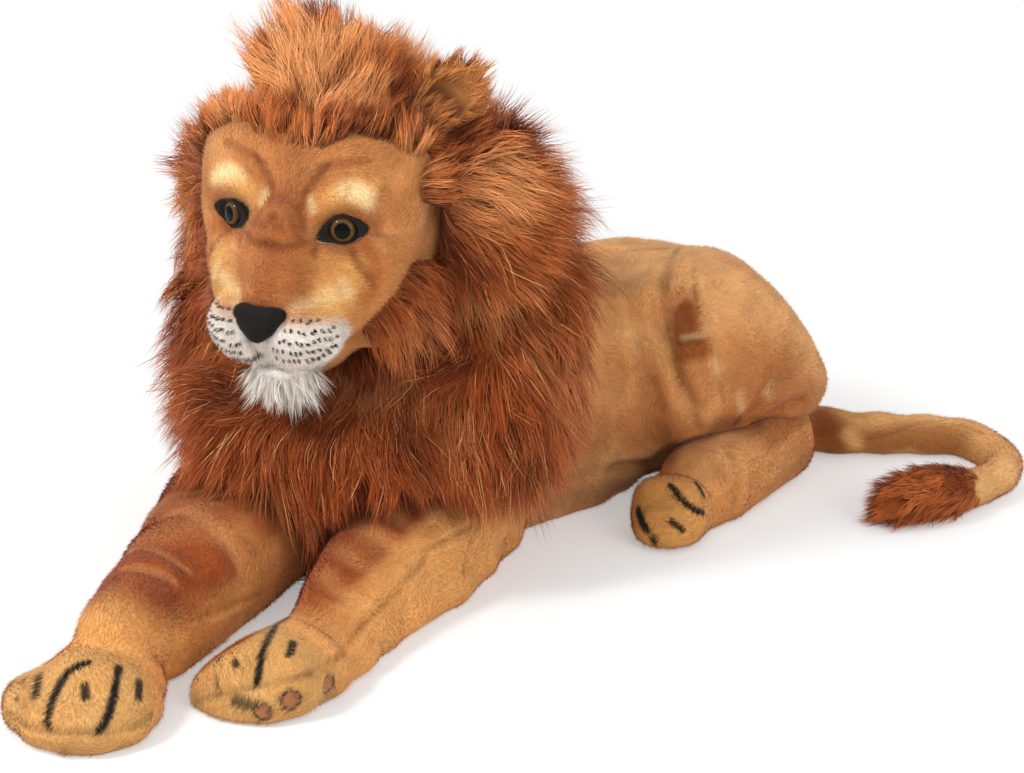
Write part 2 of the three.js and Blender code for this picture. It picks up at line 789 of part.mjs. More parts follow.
// Ears: each folds on a round knuckle sewn to the skull
const ears = bothSides.map(({ word, side }) => {
  const foot = at(side * earX, earY, earZ);
  const upright = Math.cos(radians(earBackDegrees));
  const aside = side * upright * Math.sin(radians(earOutDegrees));
  const length = at(aside, Math.sin(radians(earBackDegrees)), upright * Math.cos(radians(earOutDegrees)));
  const opens = at(side * Math.sin(radians(earAsideDegrees)), -Math.cos(radians(earAsideDegrees)), 0);
  opens.addScaledVector(length, -opens.dot(length)).normalize();
  const across = opens.clone().cross(length);
  const turn = new THREE.Quaternion().setFromRotationMatrix(new THREE.Matrix4().makeBasis(across, opens, length));
  const middle = foot.clone().addScaledVector(length, earFoot + earHeight / 2);
  const form = (grow, ahead = 0, sides = 12) =>
    oval(middle.clone().addScaledVector(opens, ahead), earWidth, earThickness, earHeight, { grow, turn, sides });
  const hollow = (ahead, less) => {
    const width = earWidth * earHollowShare - less;
    const height = earHeight * earHollowShare - less;
    return solid(oval(middle.clone().addScaledVector(opens, ahead), width, earThickness, height, { turn, sides: 12 }));
  };
  const half = earKnuckleWidth / 2;
  const knuckle = (grow) => rod(earKnuckle + grow, -half - grow, half + grow, foot, across, earKnuckleSides);
  const room = swept([form(earRoom, 0, 8)], foot, across, -earFoldDegrees, earFoldDegrees);
  const opening = swept([form(earRoom, 0, 8), form(earRoom, earOpening, 8)], foot, across, 0, 0);
  return { word, foot, form, hollow, knuckle, room: [room, opening, knuckle(earRoom)] };
});

const headRoom = (grow, sides = neckSides, steps = capSteps) =>
  solid(lathe(stumpProfile(neckRadius + nodRoom + grow, 0, stumpTop + grow, steps), neckPivot, neckAxis, sides));
const hollowSize = [skullWidth, skullDepth, skullHeight].map((size) => size * hollowShare);
const skullHollow = (gap) =>
  cut(solid(oval(skullMiddle, ...hollowSize, { grow: -gap, sides: 12 })), headRoom(wall + gap, 14, 2));
const napeMouth = rod(fillingHole, 0, stumpTop + 2 * wall, neckPivot, neckAxis, 12);
const earSockets = ears.map(({ knuckle }) => knuckle(seam));

addPiece(
  head,
  "head_cover",
  cut(headForm(0).intersect(aboveNape), headRoom(nodSeam), skullHollow(0), napeMouth, ...eyeRoom, ...earSockets),
  golden,
);
addPiece(head, "head_stuffing", cut(skullHollow(seam), ...eyeRoom), fibre);

// Face: two muzzle pads, the nose over them, and the chin and its beard below
const headCut = headForm(seam);
const pad = (side, grow) =>
  solid(oval(at(side * muzzleX, muzzleY, muzzleZ), muzzleWidth, muzzleDepth, muzzleHeight, { grow, sides: 12 }));
for (const { word, side } of bothSides) {
  addPiece(head, "muzzle_pad_" + word, cut(pad(side, 0).intersect(besideMiddle(side)), headCut), white);
}
const pads = [pad(1, seam), pad(-1, seam)];
const noseForm = solid(oval(at(0, noseY, noseZ), noseWidth, noseDepth, noseHeight, { sides: 10 }));
addPiece(head, "nose", cut(noseForm, headCut, ...pads), black);
const chin = (grow) => solid(oval(at(0, chinY, chinZ), chinWidth, chinDepth, chinHeight, { grow, sides: 10 }));
addPiece(head, "chin", cut(chin(0), headCut, ...pads), white);
const beard = solid(oval(at(0, beardY, beardZ), beardWidth, beardDepth, beardHeight, { sides: 10 }));
addPiece(head, "chin_beard", cut(beard.intersect(aboveNape), headCut, chin(seam), ...pads), white);

for (const { word, foot, form, hollow, knuckle } of ears) {
  const group = bodyGroup(foot, head);
  const shell = cut(join(solid(form(0)), knuckle(0)), hollow(earThickness / 2, 0));
  addPiece(group, "ear_" + word, shell, rust);
  const lining = cut(hollow(earThickness / 2, 2 * seam), hollow(earThickness / 2 + earLining, -earLining));
  addPiece(group, "ear_lining_" + word, lining, rust);
}

// Mane: a ring round the face that rides on the head, in a crown and two cheeks
const faceAway = at(0, Math.cos(radians(faceLeanDegrees)), Math.sin(radians(faceLeanDegrees))).negate();
const behindFace = behind(at(0, faceY, faceZ), faceAway);
const ring = solid(oval(at(0, maneY, maneZ), maneWidth, maneDepth, maneHeight, { sides: 20 }));
const ringRoom = [headCut, headRoom(wall, 14, 2), ...ears.flatMap(({ room }) => room)];
const ringLeft = cut(ring.intersect(behindFace).intersect(aboveNape), ...ringRoom);
addPiece(head, "mane_crown", ringLeft.intersect(above(crownZ)), rust);
const belowCrown = behind(at(0, 0, crownZ - seam), up);
for (const { word, side } of bothSides) {
  addPiece(head, "mane_cheek_" + word, ringLeft.intersect(belowCrown).intersect(besideMiddle(side)), rust);
}

// Cape and bib: the mane over the shoulders and down the chest
const capeLine = [at(0, capeFootY, capeFootZ), at(0, capeTopY, capeTopZ)];
const cape = (grow) =>
  solid(stuffed(capeLine, capeWidth, capeDepth, capeShares, { grow, sides: 16, rests: false }));
const capeRoom = [shoulders(seam), ...limbRoom, stumpSocket];
for (const { word, side } of bothSides) {
  const half = cape(0).intersect(belowShoulders).intersect(besideMiddle(side));
  addPiece(torso, "mane_cape_" + word, cut(half, ...capeRoom), rust);
}
const bib = solid(oval(at(0, bibY, bibZ), bibWidth, bibDepth, bibHeight)).intersect(belowShoulders);
addPiece(torso, "mane_bib", cut(bib, cape(seam), ...capeRoom), rust);

export default lion;
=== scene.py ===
import math

import bpy
import numpy as np
import openvdb
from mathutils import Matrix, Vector
from mathutils.bvhtree import BVHTree
from mathutils.kdtree import KDTree


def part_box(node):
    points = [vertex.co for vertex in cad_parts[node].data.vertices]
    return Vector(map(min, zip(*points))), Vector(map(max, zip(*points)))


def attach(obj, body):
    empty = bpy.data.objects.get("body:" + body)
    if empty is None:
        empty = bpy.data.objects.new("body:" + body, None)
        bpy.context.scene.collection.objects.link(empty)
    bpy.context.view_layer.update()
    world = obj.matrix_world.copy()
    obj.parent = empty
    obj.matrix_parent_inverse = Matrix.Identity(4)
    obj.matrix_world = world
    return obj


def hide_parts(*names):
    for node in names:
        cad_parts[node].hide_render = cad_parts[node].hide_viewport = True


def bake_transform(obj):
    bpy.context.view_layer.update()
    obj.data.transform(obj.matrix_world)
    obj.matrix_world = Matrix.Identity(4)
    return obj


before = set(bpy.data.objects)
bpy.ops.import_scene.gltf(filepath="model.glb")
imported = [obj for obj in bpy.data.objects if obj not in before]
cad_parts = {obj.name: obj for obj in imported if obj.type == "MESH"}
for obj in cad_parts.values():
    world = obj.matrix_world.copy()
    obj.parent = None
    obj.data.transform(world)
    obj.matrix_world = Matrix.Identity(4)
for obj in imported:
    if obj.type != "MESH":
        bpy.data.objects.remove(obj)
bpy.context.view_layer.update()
draw = np.random.default_rng(11)

# Camera, as the photograph was taken
PHOTO_WIDTH, PHOTO_HEIGHT = 1024, 773
VIEW_ANGLE = math.radians(24)  # across the width
AZIMUTH, ELEVATION = math.radians(27), math.radians(20)
LOOK_AT = np.array([0.145, -0.05, 0.2])
DISTANCE = 2.6496
SENSOR_WIDTH = 36  # millimetres
FOCAL_PIXELS = PHOTO_WIDTH / 2 / math.tan(VIEW_ANGLE / 2)
BACK = np.array(
    [
        math.sin(AZIMUTH) * math.cos(ELEVATION),
        -math.cos(AZIMUTH) * math.cos(ELEVATION),
        math.sin(ELEVATION),
    ]
)
RIGHT = np.array([math.cos(AZIMUTH), math.sin(AZIMUTH), 0])
UP = np.cross(BACK, RIGHT)
CAMERA_AT = LOOK_AT + BACK * DISTANCE

camera = bpy.data.objects.new("camera", bpy.data.cameras.new("camera"))
bpy.context.scene.collection.objects.link(camera)
camera.data.sensor_width = SENSOR_WIDTH
camera.data.lens = SENSOR_WIDTH / 2 / math.tan(VIEW_ANGLE / 2)
camera.data.clip_start, camera.data.clip_end = 0.05, 50
camera.location = CAMERA_AT
camera.rotation_mode = "QUATERNION"
camera.rotation_quaternion = Vector(-BACK).to_track_quat("-Z", "Y")
bpy.context.scene.camera = camera


def unit(v):
    v = np.asarray(v, float)
    return v / np.maximum(np.linalg.norm(v, axis=-1, keepdims=True), 1e-9)


def sight(u, v):
    """The way the camera looks through a pixel of the photograph."""
    return unit(-BACK * FOCAL_PIXELS + RIGHT * (u - PHOTO_WIDTH / 2) - UP * (v - PHOTO_HEIGHT / 2))


def smoothstep(v):
    v = np.clip(v, 0, 1)
    return v * v * (3 - 2 * v)


def rise(v, start, reach):
    """0 up to a start, and 1 from a reach past it."""
    return smoothstep((v - start) / reach)


def fall(v, end, reach):
    """1 until a reach before an end, and 0 past it."""
    return smoothstep((end - v) / reach)


def mixed(a, b, share):
    return a * (1 - share) + b * share


def colour(red, green, blue):
    """A screen colour, 0 to 255, as scene-linear numbers."""
    c = np.array([red, green, blue]) / 255
    return np.where(c <= 0.04045, c / 12.92, ((c + 0.055) / 1.055) ** 2.4)


WAVES = 22  # plane waves that make up the clouds


def clouds(points, size, channels=1):
    """Smooth noise about zero, with spots of roughly that size, in one or more channels."""
    total = np.zeros((len(points), channels))
    for channel in range(channels):
        ways = unit(draw.normal(0, 1, (WAVES, 3))) * (draw.uniform(0.5, 1.5, (WAVES, 1)) * math.pi / size)
        total[:, channel] = np.cos(points @ ways.T + draw.uniform(0, 2 * math.pi, WAVES)).sum(1)
    return total / math.sqrt(WAVES / 2)


# Distance fields: each soft form is a union of its CAD solids, blended and smoothed
BAND = 9  # cells that distances reach on each side of a solid


def smooth_min(a, b, k):
    h = np.clip(0.5 + 0.5 * (b - a) / k, 0, 1)
    return b + (a - b) * h - k * h * (1 - h)


def smooth_max(a, b, k):
    return -smooth_min(-a, -b, k)


class Field:
    """Distances to a soft form, on a grid of cells round some CAD nodes."""

    def __init__(self, nodes, cell, pad):
        corners = [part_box(n) for n in nodes]
        low = np.min([c[0] for c in corners], axis=0) - pad
        high = np.max([c[1] for c in corners], axis=0) + pad
        self.cell = cell
        self.base = np.floor(low / cell).astype(int)
        self.shape = np.ceil(high / cell).astype(int) - self.base + 1
        self.far = BAND * cell
        self.d = np.full(self.shape, self.far, np.float32)
        spans = [((self.base[i] + np.arange(self.shape[i])) * cell).astype(np.float32) for i in range(3)]
        self.x, self.y, self.z = np.meshgrid(*spans, indexing="ij", sparse=True)

    def solid(self, node):
        """The distances to a CAD solid."""
        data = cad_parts[node].data
        data.calc_loop_triangles()
        points = np.empty(len(data.vertices) * 3, np.float32)
        corners = np.empty(len(data.loop_triangles) * 3, np.int32)
        data.vertices.foreach_get("co", points)
        data.loop_triangles.foreach_get("vertices", corners)
        return self.measured(points.reshape(-1, 3), BAND, triangles=corners.reshape(-1, 3).astype(np.uint32))

    def measured(self, points, band, **faces):
        """The distances to a closed mesh."""
        grid = openvdb.FloatGrid.createLevelSetFromPolygons(
            points,
            transform=openvdb.createLinearTransform(voxelSize=self.cell),
            halfWidth=float(band),
            **faces,
        )
        out = np.empty(self.shape, np.float32)
        grid.copyToArray(out, ijk=tuple(int(i) for i in self.base))
        return out

    def add(self, *nodes, k=0.0, grow=0.0):
        """Joins some CAD solids to the form."""
        for node in nodes:
            d = self.solid(node) - np.float32(grow)
            self.d = smooth_min(self.d, d, k) if k else np.minimum(self.d, d)
        return self

    def oval(self, middle, size, k, turn=None, take=False):
        """Joins or takes away an oval of those half sizes."""
        p = [self.x - middle[0], self.y - middle[1], self.z - middle[2]]
        if turn is not None:
            p = [sum(turn[i][j] * p[j] for j in range(3)) for i in range(3)]
        near = np.sqrt(sum((p[i] / size[i]) ** 2 for i in range(3)))
        slope = np.sqrt(sum((p[i] / size[i] ** 2) ** 2 for i in range(3)))
        d = np.clip(near * (near - 1) / np.maximum(slope, 1e-6), -self.far, self.far).astype(np.float32)
        self.d = smooth_max(self.d, -d, k) if take else smooth_min(self.d, d, k)
        return self

    def cut(self, point, normal, k):
        """Takes away what lies beyond a plane."""
        normal = unit(normal)
        beyond = sum((axis - point[i]) * normal[i] for i, axis in enumerate((self.x, self.y, self.z)))
        self.d = smooth_max(self.d, beyond.astype(np.float32), k)
        return self

    def tube(self, line, radii, k):
        """Joins a round tube along a line, whose radius changes from point to point."""
        line = np.asarray(line, float)
        radii = np.broadcast_to(radii, len(line))
        for a, b, r, q in zip(line[:-1], line[1:], radii[:-1], radii[1:]):
            ab = b - a
            p = [self.x - a[0], self.y - a[1], self.z - a[2]]
            t = np.clip(sum(p[i] * ab[i] for i in range(3)) / (ab @ ab), 0, 1)
            away = np.sqrt(sum((p[i] - t * ab[i]) ** 2 for i in range(3)))
            d = np.minimum(away - (r + (q - r) * t), self.far).astype(np.float32)
            self.d = smooth_min(self.d, d, k)
        return self

    def blur(self, reach):
        """Softens the form, so that edges and gaps smaller than the reach go."""
        sigma = reach / self.cell
        width = max(1, int(math.ceil(2.5 * sigma)))
        weights = np.exp(-0.5 * (np.arange(-width, width + 1) / sigma) ** 2)
        weights /= weights.sum()
        for axis in range(3):
            padded = np.pad(self.d, [(width, width) if a == axis else (0, 0) for a in range(3)], mode="edge")
            total = np.zeros_like(self.d)
            for i, weight in enumerate(weights):
                cut = [slice(None)] * 3
                cut[axis] = slice(i, i + self.d.shape[axis])
                total += np.float32(weight) * padded[tuple(cut)]
            self.d = total
        return self

    def close(self, reach):
        """Fills every gap narrower than twice the reach, and measures the distances anew."""
        points, quads = self.grid().convertToQuads(isovalue=reach)
        band = BAND + 1 + reach / self.cell
        self.d = self.measured(points, band, quads=quads.astype(np.uint32)) + np.float32(reach)
        return self

    def floor(self, k=0.008):
        """Takes away what would lie below the floor."""
        self.d = smooth_max(self.d, 0.0 - self.z, k)
        return self

    def at(self, points):
        """The distance at some points, between the cells."""
        p = points / self.cell - self.base
        low = np.clip(np.floor(p).astype(int), 0, self.shape - 2)
        f = np.clip(p - low, 0, 1)
        total = 0
        for dx, dy, dz in np.ndindex(2, 2, 2):
            w = np.abs(1 - dx - f[:, 0]) * np.abs(1 - dy - f[:, 1]) * np.abs(1 - dz - f[:, 2])
            total = total + w * self.d[low[:, 0] + dx, low[:, 1] + dy, low[:, 2] + dz]
        return total

    def slope(self, points):
        """The way out of the form at some points."""
        out = np.empty_like(points)
        for axis in range(3):
            step = np.zeros(3)
            step[axis] = self.cell
            out[:, axis] = self.at(points + step) - self.at(points - step)
        return unit(out)

    def grid(self):
        grid = openvdb.FloatGrid(self.far)
        grid.transform = openvdb.createLinearTransform(voxelSize=self.cell)
        grid.copyFromArray(np.ascontiguousarray(self.d), ijk=tuple(int(i) for i in self.base))
        return grid

    def surface(self, level):
        """The points and four-cornered faces at one distance from the form."""
        points, quads = self.grid().convertToQuads(isovalue=level)
        points, quads = points.astype(float), quads.astype(np.int64)
        return largest_part(points, quads)


def largest_part(points, quads):
    """Keeps the one closed surface with the most faces, and turns it to face out."""
    label = np.arange(len(points))
    a, b = quads.ravel(), np.roll(quads, -1, axis=1).ravel()
    while True:
        low = np.minimum(label[a], label[b])
        new = label.copy()
        np.minimum.at(new, a, low)
        np.minimum.at(new, b, low)
        new = np.minimum(new, new[new])
        new = new[new]
        if np.array_equal(new, label):
            break
        label = new
    names, counts = np.unique(label[quads[:, 0]], return_counts=True)
    kept = quads[label[quads[:, 0]] == names[counts.argmax()]]
    used, kept = np.unique(kept, return_inverse=True)
    kept = kept.reshape(-1, 4)
    points = points[used]
    p = points[kept]
    across = np.cross(p[:, 2] - p[:, 0], p[:, 3] - p[:, 1])
    if (across * p.mean(1)).sum() < 0:
        kept = kept[:, ::-1]
    return points, kept


def normals_of(points, quads):
    p = points[quads]
    across = np.cross(p[:, 2] - p[:, 0], p[:, 3] - p[:, 1])
    out = np.zeros_like(points)
    for i in range(4):
        for axis in range(3):
            out[:, axis] += np.bincount(quads[:, i], across[:, axis], len(points))
    return unit(out)


def line_distance(points, line):
    """The distance from each point to a line of points, and how far along it, from 0 to 1."""
    line = np.asarray(line, float)
    best = np.full(len(points), 1e9)
    along = np.zeros(len(points))
    spans = max(1, len(line) - 1)
    for i in range(spans):
        a = line[i]
        ab = line[min(i + 1, len(line) - 1)] - a
        t = np.clip((points - a) @ ab / max(ab @ ab, 1e-12), 0, 1)
        d = np.linalg.norm(points - a - t[:, None] * ab, axis=1)
        closer = d < best
        best[closer] = d[closer]
        along[closer] = (i + t[closer]) / spans
    return best, along


def rounded(line, steps=6):
    """A smooth line through some points."""
    line = np.asarray(line, float)
    if len(line) < 3:
        return line
    ends = np.vstack([2 * line[0] - line[1], line, 2 * line[-1] - line[-2]])
    out = []
    for i in range(1, len(ends) - 2):
        p0, p1, p2, p3 = ends[i - 1 : i + 3]
        bend = 2 * p0 - 5 * p1 + 4 * p2 - p3
        twist = 3 * p1 - p0 - 3 * p2 + p3
        for j in range(steps):
            t = j / steps
            out.append(0.5 * (2 * p1 + (p2 - p0) * t + bend * t * t + twist * t**3))
    out.append(line[-1])
    return np.array(out)


class Skin:
    """A stuffed skin: its points, faces, colours, and how much pile grows on it."""

    def __init__(self, field, tint, level=0.0):
        self.points, self.quads = field.surface(level)
        self.normals = normals_of(self.points, self.quads)
        self.colours = np.tile(np.asarray(tint, float), (len(self.points), 1))
        self.pile = np.ones(len(self.points))
        self.tree = None

    def refresh(self):
        """Brings the normals up to date after creases were pressed in."""
        self.normals = normals_of(self.points, self.quads)
        self.tree = None

    def find(self):
        if self.tree is None:
            self.tree = BVHTree.FromPolygons(self.points, self.quads)
        return self.tree

    def pixels(self, *places):
        """Points on this skin under some pixels of the photograph."""
        out = []
        for place_in_photo in places:
            ray = sight(*place_in_photo)
            hit = self.find().ray_cast(Vector(CAMERA_AT), Vector(ray))[0]
            if hit is None:
                t = (self.points.mean(0) - CAMERA_AT) @ -BACK / (ray @ -BACK)
                hit = self.find().find_nearest(Vector(CAMERA_AT + ray * t))[0]
            out.append(np.array(hit))
        return np.array(out)

    def nearest(self, places):
        """The points of this skin that are nearest to some places."""
        return np.array([self.find().find_nearest(Vector(p))[0] for p in places])

    def near(self, line, reach):
        """The points near a line, their distances from it and how far along it they are."""
        line = rounded(line)
        low, high = line.min(0) - reach, line.max(0) + reach
        rows = np.flatnonzero(((self.points > low) & (self.points < high)).all(1))
        return rows, *line_distance(self.points[rows], line)

    def mask(self, line, width, soft, taper=0.0):
        """1 within a width of a line and 0 further away, thinner towards its ends if it tapers."""
        rows, d, along = self.near(line, width * (1 + soft))
        reach = width * (1 - taper * np.abs(2 * along - 1) ** 2)
        share = np.zeros(len(self.points))
        share[rows] = smoothstep((reach * (1 + soft) - d) / np.maximum(2 * soft * reach, 1e-6))
        return share

    def paint(self, line, width, tint, strength, soft, taper=0.0):
        share = (self.mask(line, width, soft, taper) * strength)[:, None]
        self.colours = mixed(self.colours, np.asarray(tint), share)

    def shade(self, line, width, factor):
        share = self.mask(line, width, 0.8)[:, None]
        self.colours = self.colours * (1 + (factor - 1) * share)

    def press(self, line, width, depth, lip=0.35):
        """A crease along a line, with the cloth swelling a little on each side of it."""
        rows, d, along = self.near(line, width * 4)
        fade = smoothstep(np.minimum(along, 1 - along) * 5 + 0.15)
        groove = -np.exp(-((d / width) ** 2)) + lip * np.exp(-(((d - 1.9 * width) / width) ** 2))
        self.points[rows] += self.normals[rows] * (groove * depth * fade)[:, None]

    def object(self, name, material, body, replaces, slot, fill=None):
        """Makes the skin an object, resting on the floor where it would reach below."""
        self.points[:, 2] = np.maximum(self.points[:, 2], 0)
        obj = mesh_object(name, self.points, self.quads, material, self.colours, smooth=True)
        place(obj, body, replaces)


def mesh_object(name, points, faces, material, colours=None, normals=None, cells=None, smooth=False):
    """A mesh of faces that all have the same number of corners."""
    mesh = bpy.data.meshes.new(name)
    count, corners = faces.shape
    mesh.vertices.add(len(points))
    mesh.vertices.foreach_set("co", np.ascontiguousarray(points, np.float32).ravel())
    mesh.loops.add(count * corners)
    mesh.loops.foreach_set("vertex_index", np.ascontiguousarray(faces, np.int32).ravel())
    mesh.polygons.add(count)
    mesh.polygons.foreach_set("loop_start", np.arange(0, count * corners, corners, dtype=np.int32))
    mesh.update()
    if smooth:
        mesh.polygons.foreach_set("use_smooth", np.ones(count, bool))
    if colours is not None:
        tint = mesh.color_attributes.new("tint", "FLOAT_COLOR", "POINT")
        rgba = np.ones((len(points), 4), np.float32)
        rgba[:, :3] = np.clip(colours, 0, 1)
        tint.data.foreach_set("color", rgba.ravel())
    if normals is not None:
        own = mesh.attributes.new("custom_normal", "FLOAT_VECTOR", "POINT")
        own.data.foreach_set("vector", np.ascontiguousarray(normals, np.float32).ravel())
    if cells is not None:
        layer = mesh.uv_layers.new(name="OFBake")
        layer.data.foreach_set("uv", np.ascontiguousarray(cells[faces.ravel()], np.float32).ravel())
    mesh.materials.append(material)
    obj = bpy.data.objects.new(name, mesh)
    bpy.context.scene.collection.objects.link(obj)
    return obj


def place(obj, body, replaces):
    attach(obj, body)
    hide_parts(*replaces)


# Materials
def new_material(name, roughness, sheen=0.0, specular=0.3):
    material = bpy.data.materials.new(name)
    material.use_nodes = True
    shader = material.node_tree.nodes["Principled BSDF"]
    shader.inputs["Roughness"].default_value = roughness
    shader.inputs["Sheen Weight"].default_value = sheen
    shader.inputs["Sheen Roughness"].default_value = 0.45
    shader.inputs["Specular IOR Level"].default_value = specular
    return material, material.node_tree, shader


def noise(tree, scale, detail):
    texture = tree.nodes.new("ShaderNodeTexNoise")
    texture.inputs["Scale"].default_value = scale
    texture.inputs["Detail"].default_value = detail
    place_of = tree.nodes.new("ShaderNodeTexCoord")
    tree.links.new(place_of.outputs["Object"], texture.inputs["Vector"])
    return texture.outputs["Fac"]


def ranged(tree, value, low, high, to_low, to_high):
    node = tree.nodes.new("ShaderNodeMapRange")
    for name, number in (("From Min", low), ("From Max", high), ("To Min", to_low), ("To Max", to_high)):
        node.inputs[name].default_value = number
    tree.links.new(value, node.inputs["Value"])
    return node.outputs["Result"]


def times(tree, a, b):
    node = tree.nodes.new("ShaderNodeMath")
    node.operation = "MULTIPLY"
    tree.links.new(a, node.inputs[0])
    tree.links.new(b, node.inputs[1])
    return node.outputs["Value"]


def tinted(tree, shader, brightness):
    """The painted tint times a brightness pattern, as the base colour."""
    tint = tree.nodes.new("ShaderNodeAttribute")
    tint.attribute_name = "tint"
    scale = tree.nodes.new("ShaderNodeVectorMath")
    scale.operation = "SCALE"
    tree.links.new(tint.outputs["Color"], scale.inputs[0])
    tree.links.new(brightness, scale.inputs["Scale"])
    tree.links.new(scale.outputs["Vector"], shader.inputs["Base Color"])


def bumped(tree, shader, height, strength, distance):
    bump = tree.nodes.new("ShaderNodeBump")
    bump.inputs["Strength"].default_value = strength
    bump.inputs["Distance"].default_value = distance
    tree.links.new(height, bump.inputs["Height"])
    tree.links.new(bump.outputs["Normal"], shader.inputs["Normal"])


def plush_backing(name, roughness=0.9, sheen=0.12):
    """Short dense pile seen from above: mottled lighter and darker by the lie of the nap, as painted sheen,
    with fine fibre bumps.
    """
    material, tree, shader = new_material(name, roughness, sheen)
    nap = ranged(tree, noise(tree, 22, 3), 0.3, 0.7, 0.86, 1.12)
    fibre = ranged(tree, noise(tree, 420, 2), 0.3, 0.7, 0.84, 1.1)
    tinted(tree, shader, times(tree, nap, fibre))
    bumped(tree, shader, noise(tree, 520, 2), 0.5, 0.0012)
    return material


def pile_fibre(name, specular):
    """Single fibres: the painted tint, mottled from tuft to tuft."""
    material, tree, shader = new_material(name, 0.75, 0.08, specular)
    tinted(tree, shader, ranged(tree, noise(tree, 60, 3), 0.3, 0.7, 0.88, 1.12))
    return material


plush = plush_backing("plush_backing")
pile = pile_fibre("short_pile", 0.15)
strand = pile_fibre("long_pile", 0.12)


# Pile
FLOOR_GAP = 0.0008  # fibres end this far above the floor
ROOT_DEPTH = 0.0006
STEPS = 4  # straight lengths in a long strand
ALONG = np.linspace(0, 1, STEPS + 1)  # how far along a strand its points lie
FACING = 0.65  # how much a strand is lit like the surface that it grows on
SIDE_EDGE, SIDE_ROOM = -0.25, 0.016  # hair bends back past this x, and ends within that room
TOP_EDGE, TOP_ROOM = 0.618, 0.02  # the same above this z


def grown(skin, spacing, share=None):
    """Places where fibres grow, by the skin's own pile or another share: roots, normals and tints."""
    p = skin.points[skin.quads]
    area = 0.5 * np.linalg.norm(np.cross(p[:, 2] - p[:, 0], p[:, 3] - p[:, 1]), axis=1)
    pile_share = (skin.pile if share is None else share)[skin.quads].mean(1)
    count = np.floor(area / spacing**2 * pile_share + draw.random(len(area))).astype(int)
    face = np.repeat(np.arange(len(area)), count)
    s, t = draw.random((2, len(face)))
    weights = np.stack([(1 - s) * (1 - t), s * (1 - t), s * t, (1 - s) * t], 1)[:, :, None]
    corners = skin.quads[face]
    root = (skin.points[corners] * weights).sum(1)
    normal = unit((skin.normals[corners] * weights).sum(1))
    tint = (skin.colours[corners] * weights).sum(1)
    return root, normal, tint


def cells_for(count, corners):
    """A small cell of the baked map for each fibre, with its root low and its tip high."""
    side = int(math.ceil(math.sqrt(count)))
    index = np.arange(count)
    low = np.stack([index % side, index // side], 1)
    spot = low[:, None, :] + np.asarray(corners)[None, :, :]
    return (spot / side).reshape(-1, 2)


def flat_on(direction, normal):
    return unit(direction - (direction * normal).sum(1)[:, None] * normal)


def one_way(way):
    """A nap that lies the same way everywhere."""
    return lambda p: np.tile(way, (len(p), 1))


def short_pile(
    name, skin, body, lie, spacing=0.0024, length=0.008, width=0.001, lift=0.35,
    swirl=0.45, contrast=0.13, places=None,
):
    """Short pile: one tapered blade for each place, leaning the way the nap lies."""
    root, normal, tint = grown(skin, spacing) if places is None else places
    count = len(root)
    nap = flat_on(unit(lie(root)) + clouds(root, 0.05, 3) * swirl, normal)
    side = np.cross(normal, nap)
    nap = unit(nap + side * draw.normal(0, 0.25, (count, 1)))
    side = np.cross(normal, nap)
    steep = lift * draw.uniform(0.5, 1.5, (count, 1))
    tip = root + unit(nap + normal * steep) * length * draw.uniform(0.7, 1.25, (count, 1))
    half = side * width / 2
    root = root - normal * ROOT_DEPTH
    points = np.stack([root + half, root - half, tip], 1).reshape(-1, 3)
    points[:, 2] = np.maximum(points[:, 2], FLOOR_GAP)
    shade = draw.uniform(1 - contrast, 1 + contrast, (count, 1)) * (1 + 0.07 * clouds(root, 0.02))
    # Each blade is painted darker at its root, as shade deep in the pile, and lighter at its tip, as painted
    # light.
    tints = np.stack([tint * shade * 0.84, tint * shade * 0.84, tint * shade * 1.14], 1).reshape(-1, 3)
    leaning = unit(normal + nap * 0.45)
    normals = np.stack([normal, normal, leaning], 1).reshape(-1, 3)
    faces = np.arange(3 * count).reshape(-1, 3)
    cells = cells_for(count, [[0.2, 0.15], [0.8, 0.15], [0.5, 0.85]])
    obj = mesh_object(name, points, faces, pile, tints, normals, cells)
    if body:
        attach(obj, body)
    return obj


def paths(root, start, finish, length, keep_out, clearance):
    """Curved lines that set out one way, bend to another and stay off what lies beneath."""
    p, out = root.copy(), [root.copy()]
    for i in range(STEPS):
        bend = 1 - (1 - (i + 0.5) / STEPS) ** 1.4
        p = p + unit(start * (1 - bend) + finish * bend) * (length / STEPS)[:, None]
        room = keep_out.at(p)
        wanted = clearance * min(1, (i + 1) / 2)
        deep = room < wanted
        if deep.any():
            p[deep] += keep_out.slope(p[deep]) * (wanted - room[deep])[:, None]
        p[:, 2] = np.maximum(p[:, 2], FLOOR_GAP + 0.001)
        out.append(p.copy())
    return np.stack(out, 1)


def bent_back(over, room):
    """How far a point comes back that lies over an edge, so that none passes the room beyond it."""
    over = np.maximum(over, 0)
    return over - room * (1 - np.exp(-over / room))


